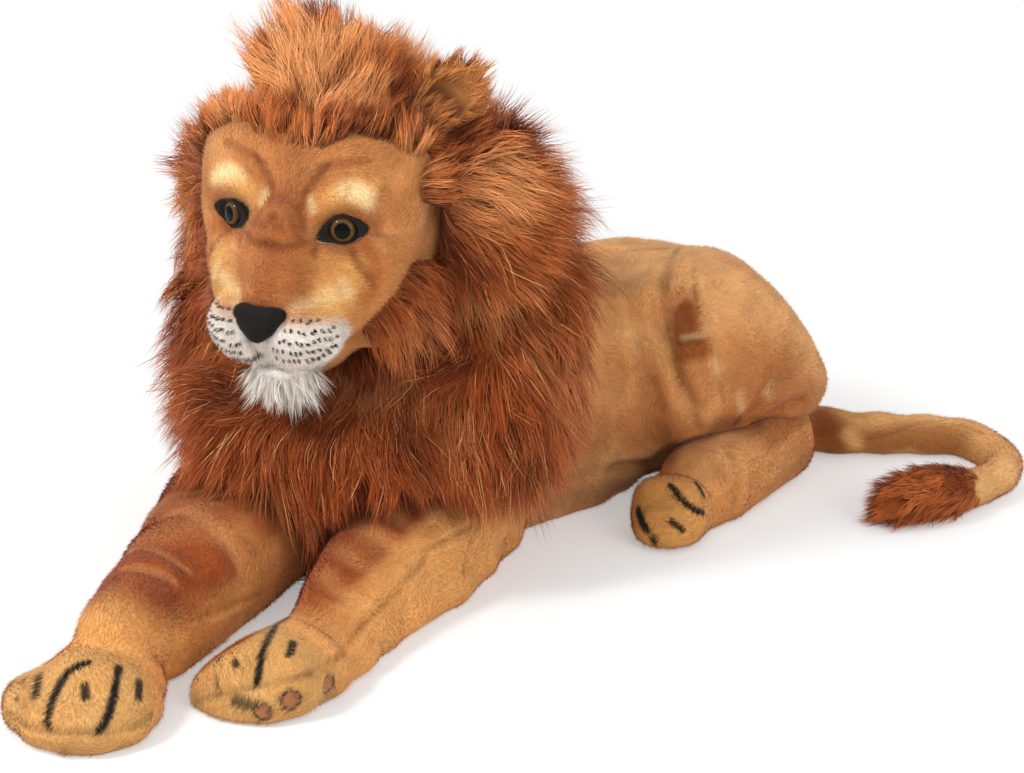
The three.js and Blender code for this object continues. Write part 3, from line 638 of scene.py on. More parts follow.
def strand_lines(root, start, finish, length, keep_out, lock, gather, clearance, stray, wave):
    """Lines of strands in locks, drawn together at their tips, and which of how many locks each is in."""
    count = len(root)
    guides = draw.choice(count, max(1, count // lock), replace=False)
    tree = KDTree(len(guides))
    for i, g in enumerate(guides):
        tree.insert(root[g], i)
    tree.balance()
    of = np.array([tree.find(p)[1] for p in root.tolist()])
    begin = unit(start[guides] + draw.normal(0, 0.2, (len(guides), 3)))
    end = unit(finish[guides] + draw.normal(0, 0.2, (len(guides), 3)))
    reach = length[guides] * draw.uniform(0.75, 1.15, len(guides))
    lines = paths(root[guides], begin, end, reach, keep_out, clearance)
    curl = unit(np.cross(begin, end + 1e-3)) * draw.normal(0, wave, (len(guides), 1)) * reach[:, None]
    lines = lines + curl[:, None, :] * np.sin(ALONG * 1.5 * math.pi)[None, :, None]
    scale = draw.uniform(0.6, 1.05, count)
    place_on = np.clip(ALONG[None, :] * scale[:, None], 0, 1.0) * STEPS
    low = np.minimum(place_on.astype(int), STEPS - 1)
    part = (place_on - low)[:, :, None]
    own = lines[of]
    rows = np.arange(count)[:, None]
    line = own[rows, low] * (1 - part) + own[rows, low + 1] * part
    offset = (root - root[guides][of])[:, None, :]
    drawn = 1 - gather * smoothstep(ALONG)[None, :, None] * draw.uniform(0.2, 1.5, (count, 1, 1))
    line = line + offset * drawn
    line += draw.normal(0, 0.6, (count, 1, 3)) * (ALONG**1.3)[None, :, None] * (stray * length)[:, None, None]
    flat = line.reshape(-1, 3)
    room = keep_out.at(flat)
    deep = (room < 0.001) & (np.tile(ALONG, count) > 0)
    flat[deep] += keep_out.slope(flat[deep]) * (0.001 - room[deep])[:, None]
    flat[:, 2] = np.maximum(flat[:, 2], FLOOR_GAP)
    flat[:, 0] += bent_back(SIDE_EDGE - flat[:, 0], SIDE_ROOM)
    flat[:, 2] -= bent_back(flat[:, 2] - TOP_EDGE, TOP_ROOM)
    return flat.reshape(count, STEPS + 1, 3), of, len(guides)


def ribbons(line, normal, width):
    """Flat ribbons along some lines, which run out in a point: their points, normals and faces."""
    count = len(line)
    along = np.gradient(line, axis=1)
    twist = draw.normal(0, 0.5, (count, 1, 1))
    across = unit(np.cross(along, normal[:, None, :] + 1e-6))
    face = unit(np.cross(across, along))
    across = unit(across * np.cos(twist) + face * np.sin(twist))
    face = unit(np.cross(across, along))
    face = face * np.sign((face * normal[:, None, :]).sum(-1, keepdims=True) + 1e-9)
    outward = unit(normal[:, None, :] * FACING + face * (1 - FACING))
    wide = width * draw.uniform(0.6, 1.3, (count, 1, 1)) / 2
    taper = (1 - ALONG[:-1] ** 1.8)[None, :, None]
    left = line[:, :-1] - across[:, :-1] * wide * taper
    right = line[:, :-1] + across[:, :-1] * wide * taper
    pairs = np.stack([left, right], 2).reshape(count, 2 * STEPS, 3)
    points = np.concatenate([pairs, line[:, -1:]], 1).reshape(-1, 3)
    points[:, 2] = np.maximum(points[:, 2], FLOOR_GAP)
    lean = across[:, :-1] * 0.3
    pair_normals = np.stack([outward[:, :-1] - lean, outward[:, :-1] + lean], 2).reshape(count, 2 * STEPS, 3)
    normals = unit(np.concatenate([pair_normals, outward[:, -1:]], 1).reshape(-1, 3))
    pattern = []
    for k in range(0, 2 * STEPS - 2, 2):
        pattern += [[k, k + 1, k + 3], [k, k + 3, k + 2]]
    pattern.append([2 * STEPS - 2, 2 * STEPS - 1, 2 * STEPS])
    first = np.arange(count)[:, None, None] * (2 * STEPS + 1)
    return points, normals, (first + np.array(pattern)[None]).reshape(-1, 3)


def long_pile(
    name, body, root, normal, tint, start, finish, length, keep_out, slot, lock,
    width=0.0009, gather=0.45, clearance=0.005, stray=0.12, wave=0.03, root_shade=0.6, tip_shade=1.18,
):
    """Long pile: a ribbon for each strand, shaded at random by lock and strand, with painted shade at its
    root and painted light towards its tip.
    """
    count = len(root)
    shape = keep_out, lock, gather, clearance, stray, wave
    line, of, locks = strand_lines(root, start, finish, length, *shape)
    points, normals, faces = ribbons(line, normal, width)
    lock_shade = draw.uniform(0.86, 1.14, locks)[of][:, None, None]
    strand_shade = draw.uniform(0.8, 1.2, (count, 1, 1))
    # Painted shade at the roots, deep among the strands, and painted light towards the tips.
    glow = root_shade + (tip_shade - root_shade) * smoothstep(ALONG * 1.1)
    at_point = np.concatenate([np.repeat(glow[:-1], 2), glow[-1:]])[None, :, None]
    tints = (tint[:, None, :] * lock_shade * strand_shade * at_point).reshape(-1, 3)
    spots = [[0.25 + 0.5 * (k % 2), 0.1 + 0.8 * (k // 2) / STEPS] for k in range(2 * STEPS)] + [[0.5, 0.9]]
    obj = mesh_object(name, points, faces, strand, tints, normals, cells_for(count, spots))
    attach(obj, body)


# Colours of the pile
GOLD = colour(206, 146, 84)
RUST = colour(158, 84, 36)
RUST_DEEP = colour(126, 58, 22)
CREAM = colour(244, 214, 160)
CREAM_GOLD = colour(228, 168, 92)
WHITE = colour(238, 230, 220)
PAW = colour(214, 160, 94)
INK = colour(26, 20, 17)
INK_SOFT = colour(60, 42, 30)
MANE = colour(206, 114, 58)
MANE_DEEP = colour(158, 74, 32)
MANE_DARK = colour(108, 48, 20)
MANE_LIGHT = colour(238, 170, 108)

# Torso and haunches
torso_field = Field(["torso_cover", "thigh_left", "thigh_right"], 0.004, 0.05)
torso_field.add("torso_cover", "torso_stuffing").blur(0.006)
torso_field.add("thigh_left", "thigh_right", k=0.022).blur(0.006)
torso_field.oval((0.224, 0.3, 0.232), (0.07, 0.075, 0.052), 0.03)  # the haunch swells into the back
torso_field.oval((0.31, 0.345, 0.11), (0.053, 0.06, 0.05), 0.02)
torso_field.cut(np.array([0.318, 0.296, 0.224]) + (RIGHT + UP) * 0.009, RIGHT * 0.75 + UP * 0.65, 0.03)
crest = 0.251 + 0.12 * np.clip((0.14 - torso_field.y) / 0.14, 0, 1) + 0.014 * rise(torso_field.x, 0.14, 0.08)
torso_field.d = smooth_max(torso_field.d, (torso_field.z - crest).astype(np.float32), 0.03)
BELLY_EDGE = ((0.11, 0.0), (0.114, 0.05), (0.13, 0.081), (0.15, 0.122), (0.165, 0.172))
torso_field.tube([(x, y, 0.018) for x, y in BELLY_EDGE], 0.018, 0.03).floor()
torso = Skin(torso_field, GOLD, 0.002)


TRIM_BLEND = 0.016


def trim(field, a, b, height, fade=0.8):
    """Trims a field to the edge that the photograph shows from pixel a to pixel b, less and less past b."""
    outward = unit(np.cross(sight(*a), sight(*b)))
    outward = outward * np.sign(outward @ UP)
    ray = sight(*b)
    last = CAMERA_AT + ray * (height - CAMERA_AT[2]) / ray[2]
    x, y, z = field.x - last[0], field.y - last[1], field.z - last[2]
    past = x * RIGHT[0] + y * RIGHT[1]
    out = x * outward[0] + y * outward[1] + z * outward[2]
    field.d = smooth_max(field.d, (out - fade * np.maximum(past, 0)).astype(np.float32), TRIM_BLEND)


# Forelegs and hind legs, with edges that were read off the photograph
RIGHT_LEG_EDGE = (
    (-0.178, -0.186), (-0.13, -0.291), (-0.1, -0.367), (-0.075, -0.439), (-0.054, -0.5), (-0.05, -0.52),
)
RIGHT_PAW_RIM = (
    (-0.114, -0.594), (-0.086, -0.624), (-0.052, -0.645), (-0.02, -0.645), (0.002, -0.632), (0.014, -0.608),
    (0.012, -0.575),
)
LEFT_LEG_EDGE = (
    (0.135, -0.431), (0.13, -0.38), (0.125, -0.326), (0.125, -0.272), (0.129, -0.235), (0.138, -0.194),
    (0.134, -0.122),
)
RIGHT_PAW_PIXELS = ((4, 684), (52, 661))
LEFT_PAW_PIXELS = ((175, 678), (288, 620))
PAW_SHRINK = {"foreleg_left": 0.0035, "foreleg_right": 0.002, "hind_leg_left": 0.004, "hind_leg_right": 0.004}
legs = {}
for side in ("left", "right"):
    for kind, paw_kind in (("foreleg", "forepaw"), ("hind_leg", "hind_paw")):
        name = f"{kind}_{side}"
        nodes = [name, f"{kind}_stuffing_{side}", f"{paw_kind}_{side}", f"{paw_kind}_sole_{side}"]
        field = Field(nodes, 0.0035, 0.05)
        field.add(*nodes[:2]).blur(0.006)
        paw_field = Field(nodes, 0.0035, 0.05).add(*nodes[2:]).blur(0.006)
        if name == "foreleg_right":
            field.tube([(x, y, 0.055) for x, y in RIGHT_LEG_EDGE], 0.04, 0.02)
            paw_field.cut(np.array([-0.1, -0.597, 0.062]) + UP * -0.012, UP * 0.85 - RIGHT * 0.5, 0.02)
            paw_field.tube([(x, y, 0.017) for x, y in RIGHT_PAW_RIM], 0.017, 0.02)
        if name == "foreleg_left":
            field.tube([(x, y, 0.016) for x, y in LEFT_LEG_EDGE], 0.016, 0.024)
            wrist = np.array([0.045, -0.497, 0.062]) + (RIGHT - UP) * 0.005
            paw_field.cut(wrist, UP * 0.6 - RIGHT * 0.8, 0.02)
        paw_field.d += np.float32(PAW_SHRINK[name])
        if name == "hind_leg_left":
            paw_field.cut(np.array([0.243, 0.04, 0.038]) + RIGHT * 0.009, -RIGHT, 0.02)
        if name == "foreleg_right":
            trim(paw_field, *RIGHT_PAW_PIXELS, 0.05)
        field.d = smooth_min(field.d, paw_field.d, 0.01 if name == "foreleg_right" else 0.03)
        if name == "foreleg_left":
            trim(field, *LEFT_PAW_PIXELS, 0.06, fade=2)
        field.floor()
        legs[name] = Skin(field, GOLD, 0.003)
        legs[name].nodes = nodes

# Head
HEAD_NODES = ["head_cover", "muzzle_pad_left", "muzzle_pad_right", "chin"]
EYES = {"left": np.array([0.062, -0.262, 0.424]), "right": np.array([-0.068, -0.26, 0.424])}
SIDES = {"left": 1, "right": -1}


def tilted(angle):
    """A turn about the forward axis, for ovals that slope outwards."""
    c, s = math.cos(math.radians(angle)), math.sin(math.radians(angle))
    return [[c, 0, s], [0, 1, 0], [-s, 0, c]]


head_field = Field(HEAD_NODES, 0.003, 0.04)
head_field.add("head_cover", "head_stuffing")
head_field.blur(0.008)
for side, s in SIDES.items():
    head_field.oval((0.04 * s, -0.262, 0.374), (0.034, 0.028, 0.05), 0.022)  # beside the bridge
    head_field.oval((0.066 * s, -0.246, 0.37), (0.038, 0.03, 0.04), 0.022)  # under the eye
    head_field.oval((0.052 * s, -0.268, 0.342), (0.03, 0.022, 0.03), 0.02)  # above the muzzle
    head_field.oval((0.094 * s, -0.222, 0.425), (0.028, 0.03, 0.05), 0.024)  # temple
    head_field.oval((0.082 * s, -0.206, 0.472), (0.046, 0.032, 0.036), 0.024)  # corner of the forehead
    head_field.oval((0.05 * s, -0.232, 0.482), (0.044, 0.024, 0.03), 0.022)  # forehead lobes
    head_field.oval((0.064 * s, -0.246, 0.45), (0.032, 0.016, 0.012), 0.018, tilted(8 * s))  # brow
head_field.oval((0, -0.284, 0.388), (0.03, 0.016, 0.056), 0.02)
head_field.oval((0, -0.309, 0.352), (0.026, 0.016, 0.02), 0.012)
pad_field = Field(HEAD_NODES, 0.003, 0.04).add("muzzle_pad_left", "muzzle_pad_right").blur(0.005)
for s in (-1, 1):
    pad_field.oval((0.043 * s, -0.296, 0.322), (0.03, 0.028, 0.026), 0.012)
head_field.d = smooth_min(head_field.d, pad_field.d - np.float32(0.001), 0.008)
for side, s in SIDES.items():
    socket = EYES[side] + np.array([0.003 * s, -0.017, -0.001])
    head_field.oval(socket, (0.027, 0.022, 0.0175), 0.009, take=True)
chin_field = Field(HEAD_NODES, 0.003, 0.04).add("chin").blur(0.005)
head_field.d = smooth_min(head_field.d, chin_field.d, 0.008)
head = Skin(head_field, GOLD, 0.001)

# The hairline: half the width of the bare face at each height
HAIRLINE_HEIGHTS = [0.25, 0.27, 0.29, 0.315, 0.359, 0.4, 0.44, 0.488, 0.505, 0.515]
HAIRLINE_WIDTHS = [0.022, 0.036, 0.052, 0.078, 0.112, 0.126, 0.13, 0.13, 0.118, 0.098]
FRINGE_ASIDE = [0, 0.035, 0.06, 0.09, 0.125]
FRINGE_HEIGHTS = [0.498, 0.504, 0.518, 0.512, 0.494]


def bareness(p):
    """How far inside the bare part of the face each point lies; below nothing, the mane grows."""
    half = np.interp(p[:, 2], HAIRLINE_HEIGHTS, HAIRLINE_WIDTHS)
    top = np.interp(np.abs(p[:, 0]), FRINGE_ASIDE, FRINGE_HEIGHTS)
    return np.minimum(np.minimum(half - np.abs(p[:, 0]), top - p[:, 2]), -0.155 - p[:, 1])


# Airbrushed colours, painted light and shade, seams and creases, placed where the photograph shows them
def blended(skin, share, tint):
    """Mixes a tint into a skin by a share for each point."""
    skin.colours = mixed(skin.colours, np.asarray(tint), np.clip(share, 0, 1)[:, None])


def seam(skin, line, width=0.0028, depth=0.003, factor=0.62):
    """A sewn seam: a narrow crease with a darker line of painted shade in it."""
    skin.press(line, width * 1.6, depth)
    skin.shade(line, width, factor)


TAN = colour(216, 150, 88)
TAN_LIGHT = colour(236, 182, 120)
TAN_DEEP = colour(182, 112, 60)
PEACH = colour(212, 156, 108)
HIPS, ACROSS = np.array([0.13, 0.27, 0.15]), np.array([0.93, -0.368, 0])


def far_side(line):
    """The same line on the other haunch."""
    return line - 2 * ((line - HIPS) @ ACROSS)[:, None] * ACROSS


BEHIND_MANE = ((596, 262), (612, 330), (606, 400), (580, 470))
HAUNCH_LINES = {  # in pixels of the photograph
    "arc": (
        (676, 250), (670.6, 260.6), (660.4, 291), (662.4, 321.8), (670.6, 352.4), (678.8, 383), (691, 409.6),
        (699, 426),
    ),
    "front": ((694, 268), (695, 297), (701, 311.6), (705, 332), (713.5, 344), (715.5, 368.8), (723.7, 403.5)),
    "strip": ((684, 300), (684, 330), (692, 360), (702, 395)),
    "knee": ((686, 312), (687, 333)),
    "knee_low": ((689, 350), (700, 349)),
    "knee_pale": ((683, 339), (698, 336)),
    "knee_fold": ((674.7, 344), (690, 341), (701, 341)),
    "spot_a": ((715, 364), (718, 372)),
    "spot_b": ((775, 378), (768, 395)),
    "spot_c": ((738, 395), (740, 412)),
    "light": ((722, 285), (760, 300), (788, 330), (800, 360)),
    "deep": ((735, 360), (760, 350), (790, 375)),
    "fold_high": ((736, 424), (754, 409.6), (768.6, 389), (776.7, 377)),
    "fold_low": ((736, 424), (764.5, 417.8), (785, 409.6), (805, 420), (826, 411.6)),
    "under": ((650, 464.7), (683, 442), (713.5, 430), (736, 424)),
}
HAUNCH_PAINT = (  # line, width, tint, strength, softness
    ("strip", 0.017, colour(186, 116, 62), 0.6, 0.5),
    # painted highlight along the top of the haunch
    ("light", 0.035, TAN_LIGHT, 0.4, 1.0),
    ("deep", 0.03, TAN_DEEP, 0.5, 1.0),
    ("fold_high", 0.034, RUST, 0.5, 1.0),
    ("knee", 0.015, RUST, 1, 0.4),
    ("knee_low", 0.014, RUST, 0.9, 0.45),
    ("knee_pale", 0.0035, CREAM, 0.4, 0.9),
    ("fold_high", 0.02, TAN_DEEP, 0.6, 0.9),
    ("fold_low", 0.02, RUST, 0.45, 0.9),
    ("spot_a", 0.005, CREAM, 0.3, 1.0),
    ("spot_b", 0.005, CREAM, 0.3, 1.0),
    ("spot_c", 0.005, CREAM, 0.3, 1.0),
)
HAUNCH_SEAMS = (  # line, width and depth of the crease, width and factor of its shade
    ("arc", 0.009, 0.007, 0.005, 0.62),
    ("front", 0.005, 0.003, 0.002, 0.7),
    ("knee_fold", 0.004, 0.004, 0.0025, 0.6),
)
FLANK_FOLDS = (
    ((617.6, 362.7), (621.6, 385), (618.6, 413.7)),
    ((640, 340), (640, 373), (634, 393)),
    ((628, 300), (634, 330), (640, 345)),
)
BELLY_CREASE = ((607, 468.8), (638, 464.7), (654, 460.6), (672.7, 444))
BELLY_SHADE = ((545, 505), (590, 492), (634, 475))

n = torso.normals
torso.colours = np.tile(TAN, (len(torso.points), 1))
# Painted light on the faces that look up, with lighter patches at random
blended(torso, 0.4 * rise(n[:, 2], 0.3, 0.6) + 0.15 * clouds(torso.points, 0.07)[:, 0], TAN_LIGHT)
# Painted shade on the faces that look sideways and down
blended(torso, 0.55 * fall(n[:, 2], 0.4, 0.6), TAN_DEEP)
blended(torso, 0.6 * fall(torso.points[:, 2], 0.09, 0.08), PEACH)
blended(torso, 0.22 * clouds(torso.points, 0.045)[:, 0], TAN_LIGHT)
# A rust strip just behind the mane on each side, painted as shade from the mane
behind_mane = torso.pixels(*BEHIND_MANE)
for line in (behind_mane, behind_mane * [-1, 1, 1]):
    torso.paint(line, 0.03, RUST, 0.25, 1.0)

haunch = {word: torso.pixels(*places) for word, places in HAUNCH_LINES.items()}
for turn in (lambda line: line, lambda line: torso.nearest(far_side(line))):
    line = {word: turn(places) for word, places in haunch.items()}
    for word, width, tint, strength, soft in HAUNCH_PAINT:
        torso.paint(line[word], width, tint, strength, soft)
    for word, width, depth, shaded, factor in HAUNCH_SEAMS:
        torso.press(line[word], width, depth)
        torso.shade(line[word], shaded, factor)
    torso.press(line["fold_high"], 0.008, 0.008)
    torso.press(line["fold_low"], 0.008, 0.007)
    torso.shade(line["fold_high"], 0.004, 0.65)
    torso.shade(line["fold_low"], 0.004, 0.65)
    torso.shade(line["under"], 0.012, 0.6)
    torso.refresh()

# Folds on the flank: each pressed in, with painted shade in it and a painted highlight on the ridge beside it
for line in [torso.pixels(*places) for places in FLANK_FOLDS]:
    for turned in (line, line * [-1, 1, 1]):
        torso.press(turned, 0.009, 0.0045)
        torso.shade(turned, 0.004, 0.85)
        torso.paint(turned - RIGHT * 0.01, 0.007, TAN_LIGHT, 0.25, 1.0)
belly_crease = torso.pixels(*BELLY_CREASE)
torso.press(belly_crease, 0.008, 0.006)
torso.shade(belly_crease, 0.006, 0.7)
torso.shade(torso.pixels(*BELLY_SHADE), 0.012, 0.75)
torso.refresh()

# Forelegs
for side in SIDES:
    leg = legs[f"foreleg_{side}"]
    n, p = leg.normals, leg.points
    paw_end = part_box(leg.nodes[2])[1][1]
    leg.colours = np.tile(colour(228, 164, 94), (len(p), 1))
    patch = clouds(p, 0.06)[:, 0]
    if side == "left":
        dark = rise(n @ unit([-0.7, -0.05, 0.7]), -0.2, 0.85)
    else:
        dark = rise(n @ unit([-0.25, -0.1, 0.95]), -0.35, 0.9)
    wrist = paw_end - (0.052 if side == "left" else 0.075)
    dark = dark * smoothstep((p[:, 1] - wrist - 0.01) / 0.06)
    blended(leg, np.clip(dark * (0.95 + 0.2 * patch), 0, 1), colour(160, 76, 30))
    blended(leg, 0.3 * dark * np.exp(-(((p[:, 1] - wrist - 0.03) / 0.045) ** 2)), RUST_DEEP)
    on_paw = smoothstep((wrist + 0.012 - p[:, 1] + 0.012 * patch) / 0.045)
    blended(leg, on_paw, PAW)
    blended(leg, on_paw * 0.3 * np.clip(clouds(p, 0.03)[:, 0], 0, 1), colour(232, 184, 116))
    blended(leg, on_paw * 0.5 * fall(p[:, 2], 0.03, 0.02), colour(200, 146, 84))

RIGHT_WRINKLES = (  # width, then pixels of the photograph
    (0.007, ((146, 513), (185.7, 511.5), (225.5, 539.7), (242, 569.6))),
    (0.005, ((122.7, 568), (146, 569.6), (175.8, 582.8))),
    (0.004, ((130, 552), (165, 556), (190, 572))),
)
LEFT_WRINKLES = (
    ((365, 497), (392, 512), (411, 530)),
    ((340, 528), (372, 532), (398, 552)),
    ((318, 556), (350, 556), (376, 578)),
    ((300, 580), (330, 580), (352, 600)),
    ((395, 490), (425, 505), (432, 525)),
)
LEFT_SEAMS = (
    (
        (195.7, 700.6), (232, 692), (282, 682), (315, 670.7), (341.6, 652.5), (364.8, 622.6), (398, 589.5),
        (424.5, 559.6), (431, 548), (474, 526),
    ),
    ((477.6, 528), (464, 573)),
)
RIGHT_PAW_SEAM = ((6.6, 712), (20, 722), (46.4, 730), (99.5, 732), (132.7, 727), (152.6, 712))
RIGHT_LEG_SEAM = ((200, 618), (232, 606), (262, 592))
RIGHT_TOES = (  # width, strength, then pixels of the photograph
    (0.004, 0.9, ((10, 679), (9, 686))),
    (0.0022, 0.7, ((31.5, 664), (25, 679), (16.6, 700.6))),
    (0.0042, 0.95, ((39.8, 675.7), (35.8, 695.6))),
    (0.0042, 1, ((88, 662), (68, 672), (56.4, 692), (49.8, 712), (49, 729))),
    (0.0048, 0.95, ((84.6, 685.6), (85.6, 697))),
    (0.0046, 1, ((118.7, 667), (114.4, 692), (107.8, 715.5), (99.5, 730.4))),
    (0.0045, 0.95, ((139.3, 682), (138.6, 697))),
)
LEFT_TOES = (
    (0.0035, 0.9, ((202.3, 655.8), (199, 672.4))),
    (0.0022, 0.7, ((227, 639), (219, 659), (217, 679), (219, 689))),
    (0.0042, 0.95, ((239.5, 642.5), (235.5, 664))),
    (0.0042, 1, ((282, 622.6), (270.3, 636), (262, 655.8), (257, 682.3))),
    (0.0045, 0.95, ((293.5, 642.5), (290, 654))),
    (0.006, 0.8, ((236, 700), (262, 706))),
)
LEFT_PADS = (((291, 700), 0.0085), ((328.4, 684), 0.008), ((263, 712), 0.0075))  # their middles and sizes

right_leg, left_leg = legs["foreleg_right"], legs["foreleg_left"]
# Each wrinkle: a lighter line painted as a highlight on its ridge, over a crease pressed in just below it
for width, line in [(width, right_leg.pixels(*places)) for width, places in RIGHT_WRINKLES]:
    right_leg.paint(line, width * 1.3, colour(220, 156, 98), 0.4, 1.0, 0.5)
    right_leg.press(line + UP * -0.012, 0.009, 0.005)
# The same on the left foreleg: a painted highlight on each wrinkle's ridge
for line in [left_leg.pixels(*places) for places in LEFT_WRINKLES]:
    left_leg.paint(line, 0.01, colour(226, 164, 98), 0.35, 1.0, 0.5)
    left_leg.press(line + UP * -0.01, 0.009, 0.004)
right_leg.refresh()
left_leg.refresh()
for places in LEFT_SEAMS:
    seam(left_leg, left_leg.pixels(*places))
seam(right_leg, right_leg.pixels(*RIGHT_PAW_SEAM))
seam(right_leg, right_leg.pixels(*RIGHT_LEG_SEAM), factor=0.75)
for leg, strokes in ((right_leg, RIGHT_TOES), (left_leg, LEFT_TOES)):
    for width, strength, places in strokes:
        leg.paint(leg.pixels(*places), width, INK, strength, 0.35)
for middle, size in LEFT_PADS:
    spot = left_leg.pixels(middle)
    left_leg.paint(spot, size * 1.35, INK, 1, 0.15)
    left_leg.paint(spot, size, colour(168, 108, 70), 1, 0.12)
    left_leg.pile *= 1 - left_leg.mask(spot, size, 0.1)
    left_leg.press(spot, size, -0.0018, 0)
    left_leg.refresh()

# Hind legs
HIND_RUST = ((650, 475), (672, 458))
HIND_LIGHT = ((700, 470), (725, 452))
HIND_FOLD = ((723.7, 448), (736, 471), (735, 500))
HIND_TOES = (  # width, strength, then pixels of the photograph
    (0.0042, 1, ((670.6, 485), (682.9, 499.4), (695, 509.6), (703.3, 512.7))),
    (0.0042, 0.95, ((696, 483), (703.3, 495.3))),
    (0.0042, 0.95, ((672.7, 521.8), (682.9, 530))),
    (0.0058, 1, ((637.9, 509.8), (643.3, 526), (654, 539.5), (667.6, 549), (689, 549))),
)
for side in SIDES:
    leg = legs[f"hind_leg_{side}"]
    p, n = leg.points, leg.normals
    leg.colours = np.tile(colour(212, 144, 80), (len(p), 1))
    # Painted light on the faces that look up, with lighter patches at random
    blended(leg, 0.45 * rise(n[:, 2], 0.1, 0.8) + 0.2 * clouds(p, 0.05)[:, 0], TAN_LIGHT)
    paw_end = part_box(leg.nodes[2])[1][1]
    blended(leg, smoothstep((paw_end - 0.012 - p[:, 1]) / 0.03), colour(220, 158, 86))
    blended(leg, 0.7 * smoothstep((p[:, 1] - paw_end - 0.06) / 0.06) * rise(n[:, 2], 0.3, 0.4), RUST)
hind, other = legs["hind_leg_left"], legs["hind_leg_right"]
hind.paint(hind.pixels(*HIND_RUST), 0.012, RUST, 0.6, 0.9)
hind.paint(hind.pixels(*HIND_LIGHT), 0.012, TAN_LIGHT, 0.5, 0.9)
right_low, right_high = np.array(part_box("hind_paw_right"))
left_low, left_high = np.array(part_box("hind_paw_left"))
left_to_right = (right_low + right_high) / 2 - (left_low + left_high) / 2
for width, strength, places in HIND_TOES:
    line = hind.pixels(*places)
    hind.paint(line, width, INK, strength, 0.35)
    other.paint(other.nearest(line + left_to_right), width, INK, strength, 0.35)
wrist_fold = hind.pixels(*HIND_FOLD)
hind.press(wrist_fold, 0.008, 0.006)
hind.shade(wrist_fold, 0.004, 0.75)
hind.refresh()


# Face, with its strokes in pixels of the photograph
FACE_EDGE = ((362, 262), (382, 235), (400, 215))
FACE_PAINT = (  # width, tint, strength, softness, pixels
    (0.012, colour(196, 124, 70), 0.4, 0.9, ((300, 168), (330, 158), (362, 152))),
    (0.02, CREAM_GOLD, 0.85, 0.8, ((330, 300), (345, 288), (352, 272))),
    (0.012, CREAM_GOLD, 0.7, 0.8, ((318, 300), (330, 312))),
    (0.011, CREAM_GOLD, 0.75, 1.0, ((330, 198), (350, 190), (368, 192))),
    (0.008, CREAM, 0.8, 0.9, ((354, 190), (366, 195))),
    (0.006, CREAM_GOLD, 0.85, 0.8, ((312, 196), (308, 212))),
    (0.006, colour(184, 102, 46), 0.55, 0.9, ((316, 222), (308, 206), (322, 186), (345, 172))),
    (0.008, colour(172, 90, 42), 0.65, 0.9, ((364, 244), (374, 262), (372, 284), (362, 300))),
    (0.009, colour(168, 88, 42), 0.6, 0.9, ((318, 245), (338, 252), (360, 246))),
    (0.012, colour(170, 92, 44), 0.6, 0.9, ((290, 240), (298, 262), (296, 285))),
)
BRIDGE = ((0, -0.275, 0.44), (0, -0.3, 0.4), (0, -0.322, 0.365))  # in metres, as is the next
FOREHEAD = ((0, -0.245, 0.475), (0, -0.262, 0.45))
EYE_LINE = ((360, 232), (374, 234), (386, 236))
FACE_CREASES = (  # width, strength, pixels
    (0.005, 0.7, ((255, 156), (267, 175), (272, 190))),
    (0.005, 0.5, ((317, 171), (334, 165), (355, 162), (368, 161))),
    (0.006, 0.6, ((306, 190), (301, 212), (303, 232))),
    (0.004, 0.8, ((258, 243), (281, 249), (297, 246), (309, 243))),
    (0.004, 0.6, ((288, 218), (297, 234), (303, 246))),
    (0.005, 0.7, ((349, 249), (357, 264), (368, 277), (372, 286))),
    (0.0035, 0.8, ((315, 246), (314, 258))),
    (0.005, 0.4, ((268, 205), (275, 222), (283, 232))),
)
CREAM_STROKES = (  # width, pixels
    (0.008, ((297, 307), (318, 301), (331, 295))),
    # a painted highlight beside the cheek crease
    (0.005, ((343, 283), (348, 295))),
    (0.009, ((342, 190), (356, 193), (368, 202))),
    (0.004, ((310, 200), (312, 212))),
)
MOUTH_MIDDLE = ((249, 337), (254, 348), (256, 352))
LIP = ((258, 356), (275, 366), (292, 369), (312, 361))
OPEN_MOUTH = ((224, 352), (236, 357), (249, 359), (259, 354))
DOT_ROWS = (
    ((292, 321), (306, 322), (322, 320)),
    ((284, 330), (306, 333), (334, 327)),
    ((276, 339), (300, 343), (337, 335)),
    ((272, 348), (298, 352), (336, 343)),
    ((276, 357), (298, 360), (330, 351)),
)


def both_sides(places):
    """A line on the head under some pixels of the photograph, and its mirrored line."""
    line = head.pixels(*places)
    return line, head.nearest(line * [-1, 1, 1])


def paint_both(places, width, *how):
    for line in both_sides(places):
        head.paint(line, width, *how)


p, n = head.points, head.normals
head.colours = np.tile(colour(202, 134, 76), (len(p), 1))
blended(head, 0.25 * clouds(p, 0.035)[:, 0], TAN_LIGHT)
# Painted shade towards the hairline and along the edges of the face, where the mane overhangs it
blended(head, 0.5 * fall(bareness(p) * 3.5, 0.1, 0.2) * rise(p[:, 2], 0.3, 0.1), TAN_DEEP)
paint_both(FACE_EDGE, 0.022, TAN_DEEP, 0.4, 1.0)
head.paint(BRIDGE, 0.022, colour(166, 90, 44), 0.8, 0.7)
head.paint(FOREHEAD, 0.022, colour(166, 96, 54), 0.65, 0.9)
for width, tint, strength, soft, places in FACE_PAINT:
    paint_both(places, width, tint, strength, soft)
paint_both(EYE_LINE, 0.002, INK_SOFT, 0.4, 0.9, 0.6)
# Creases pressed in, each with a dark line painted along it: painted shade in the fold, and under the eye a
# dark tear mark
for width, strength, places in FACE_CREASES:
    for line in both_sides(places):
        head.press(line, 0.006, 0.003 * strength)
        head.paint(line, width, colour(132, 66, 30), strength, 0.9, 0.4)
for width, places in CREAM_STROKES:
    paint_both(places, width, CREAM, 0.6, 0.9)
head.refresh()

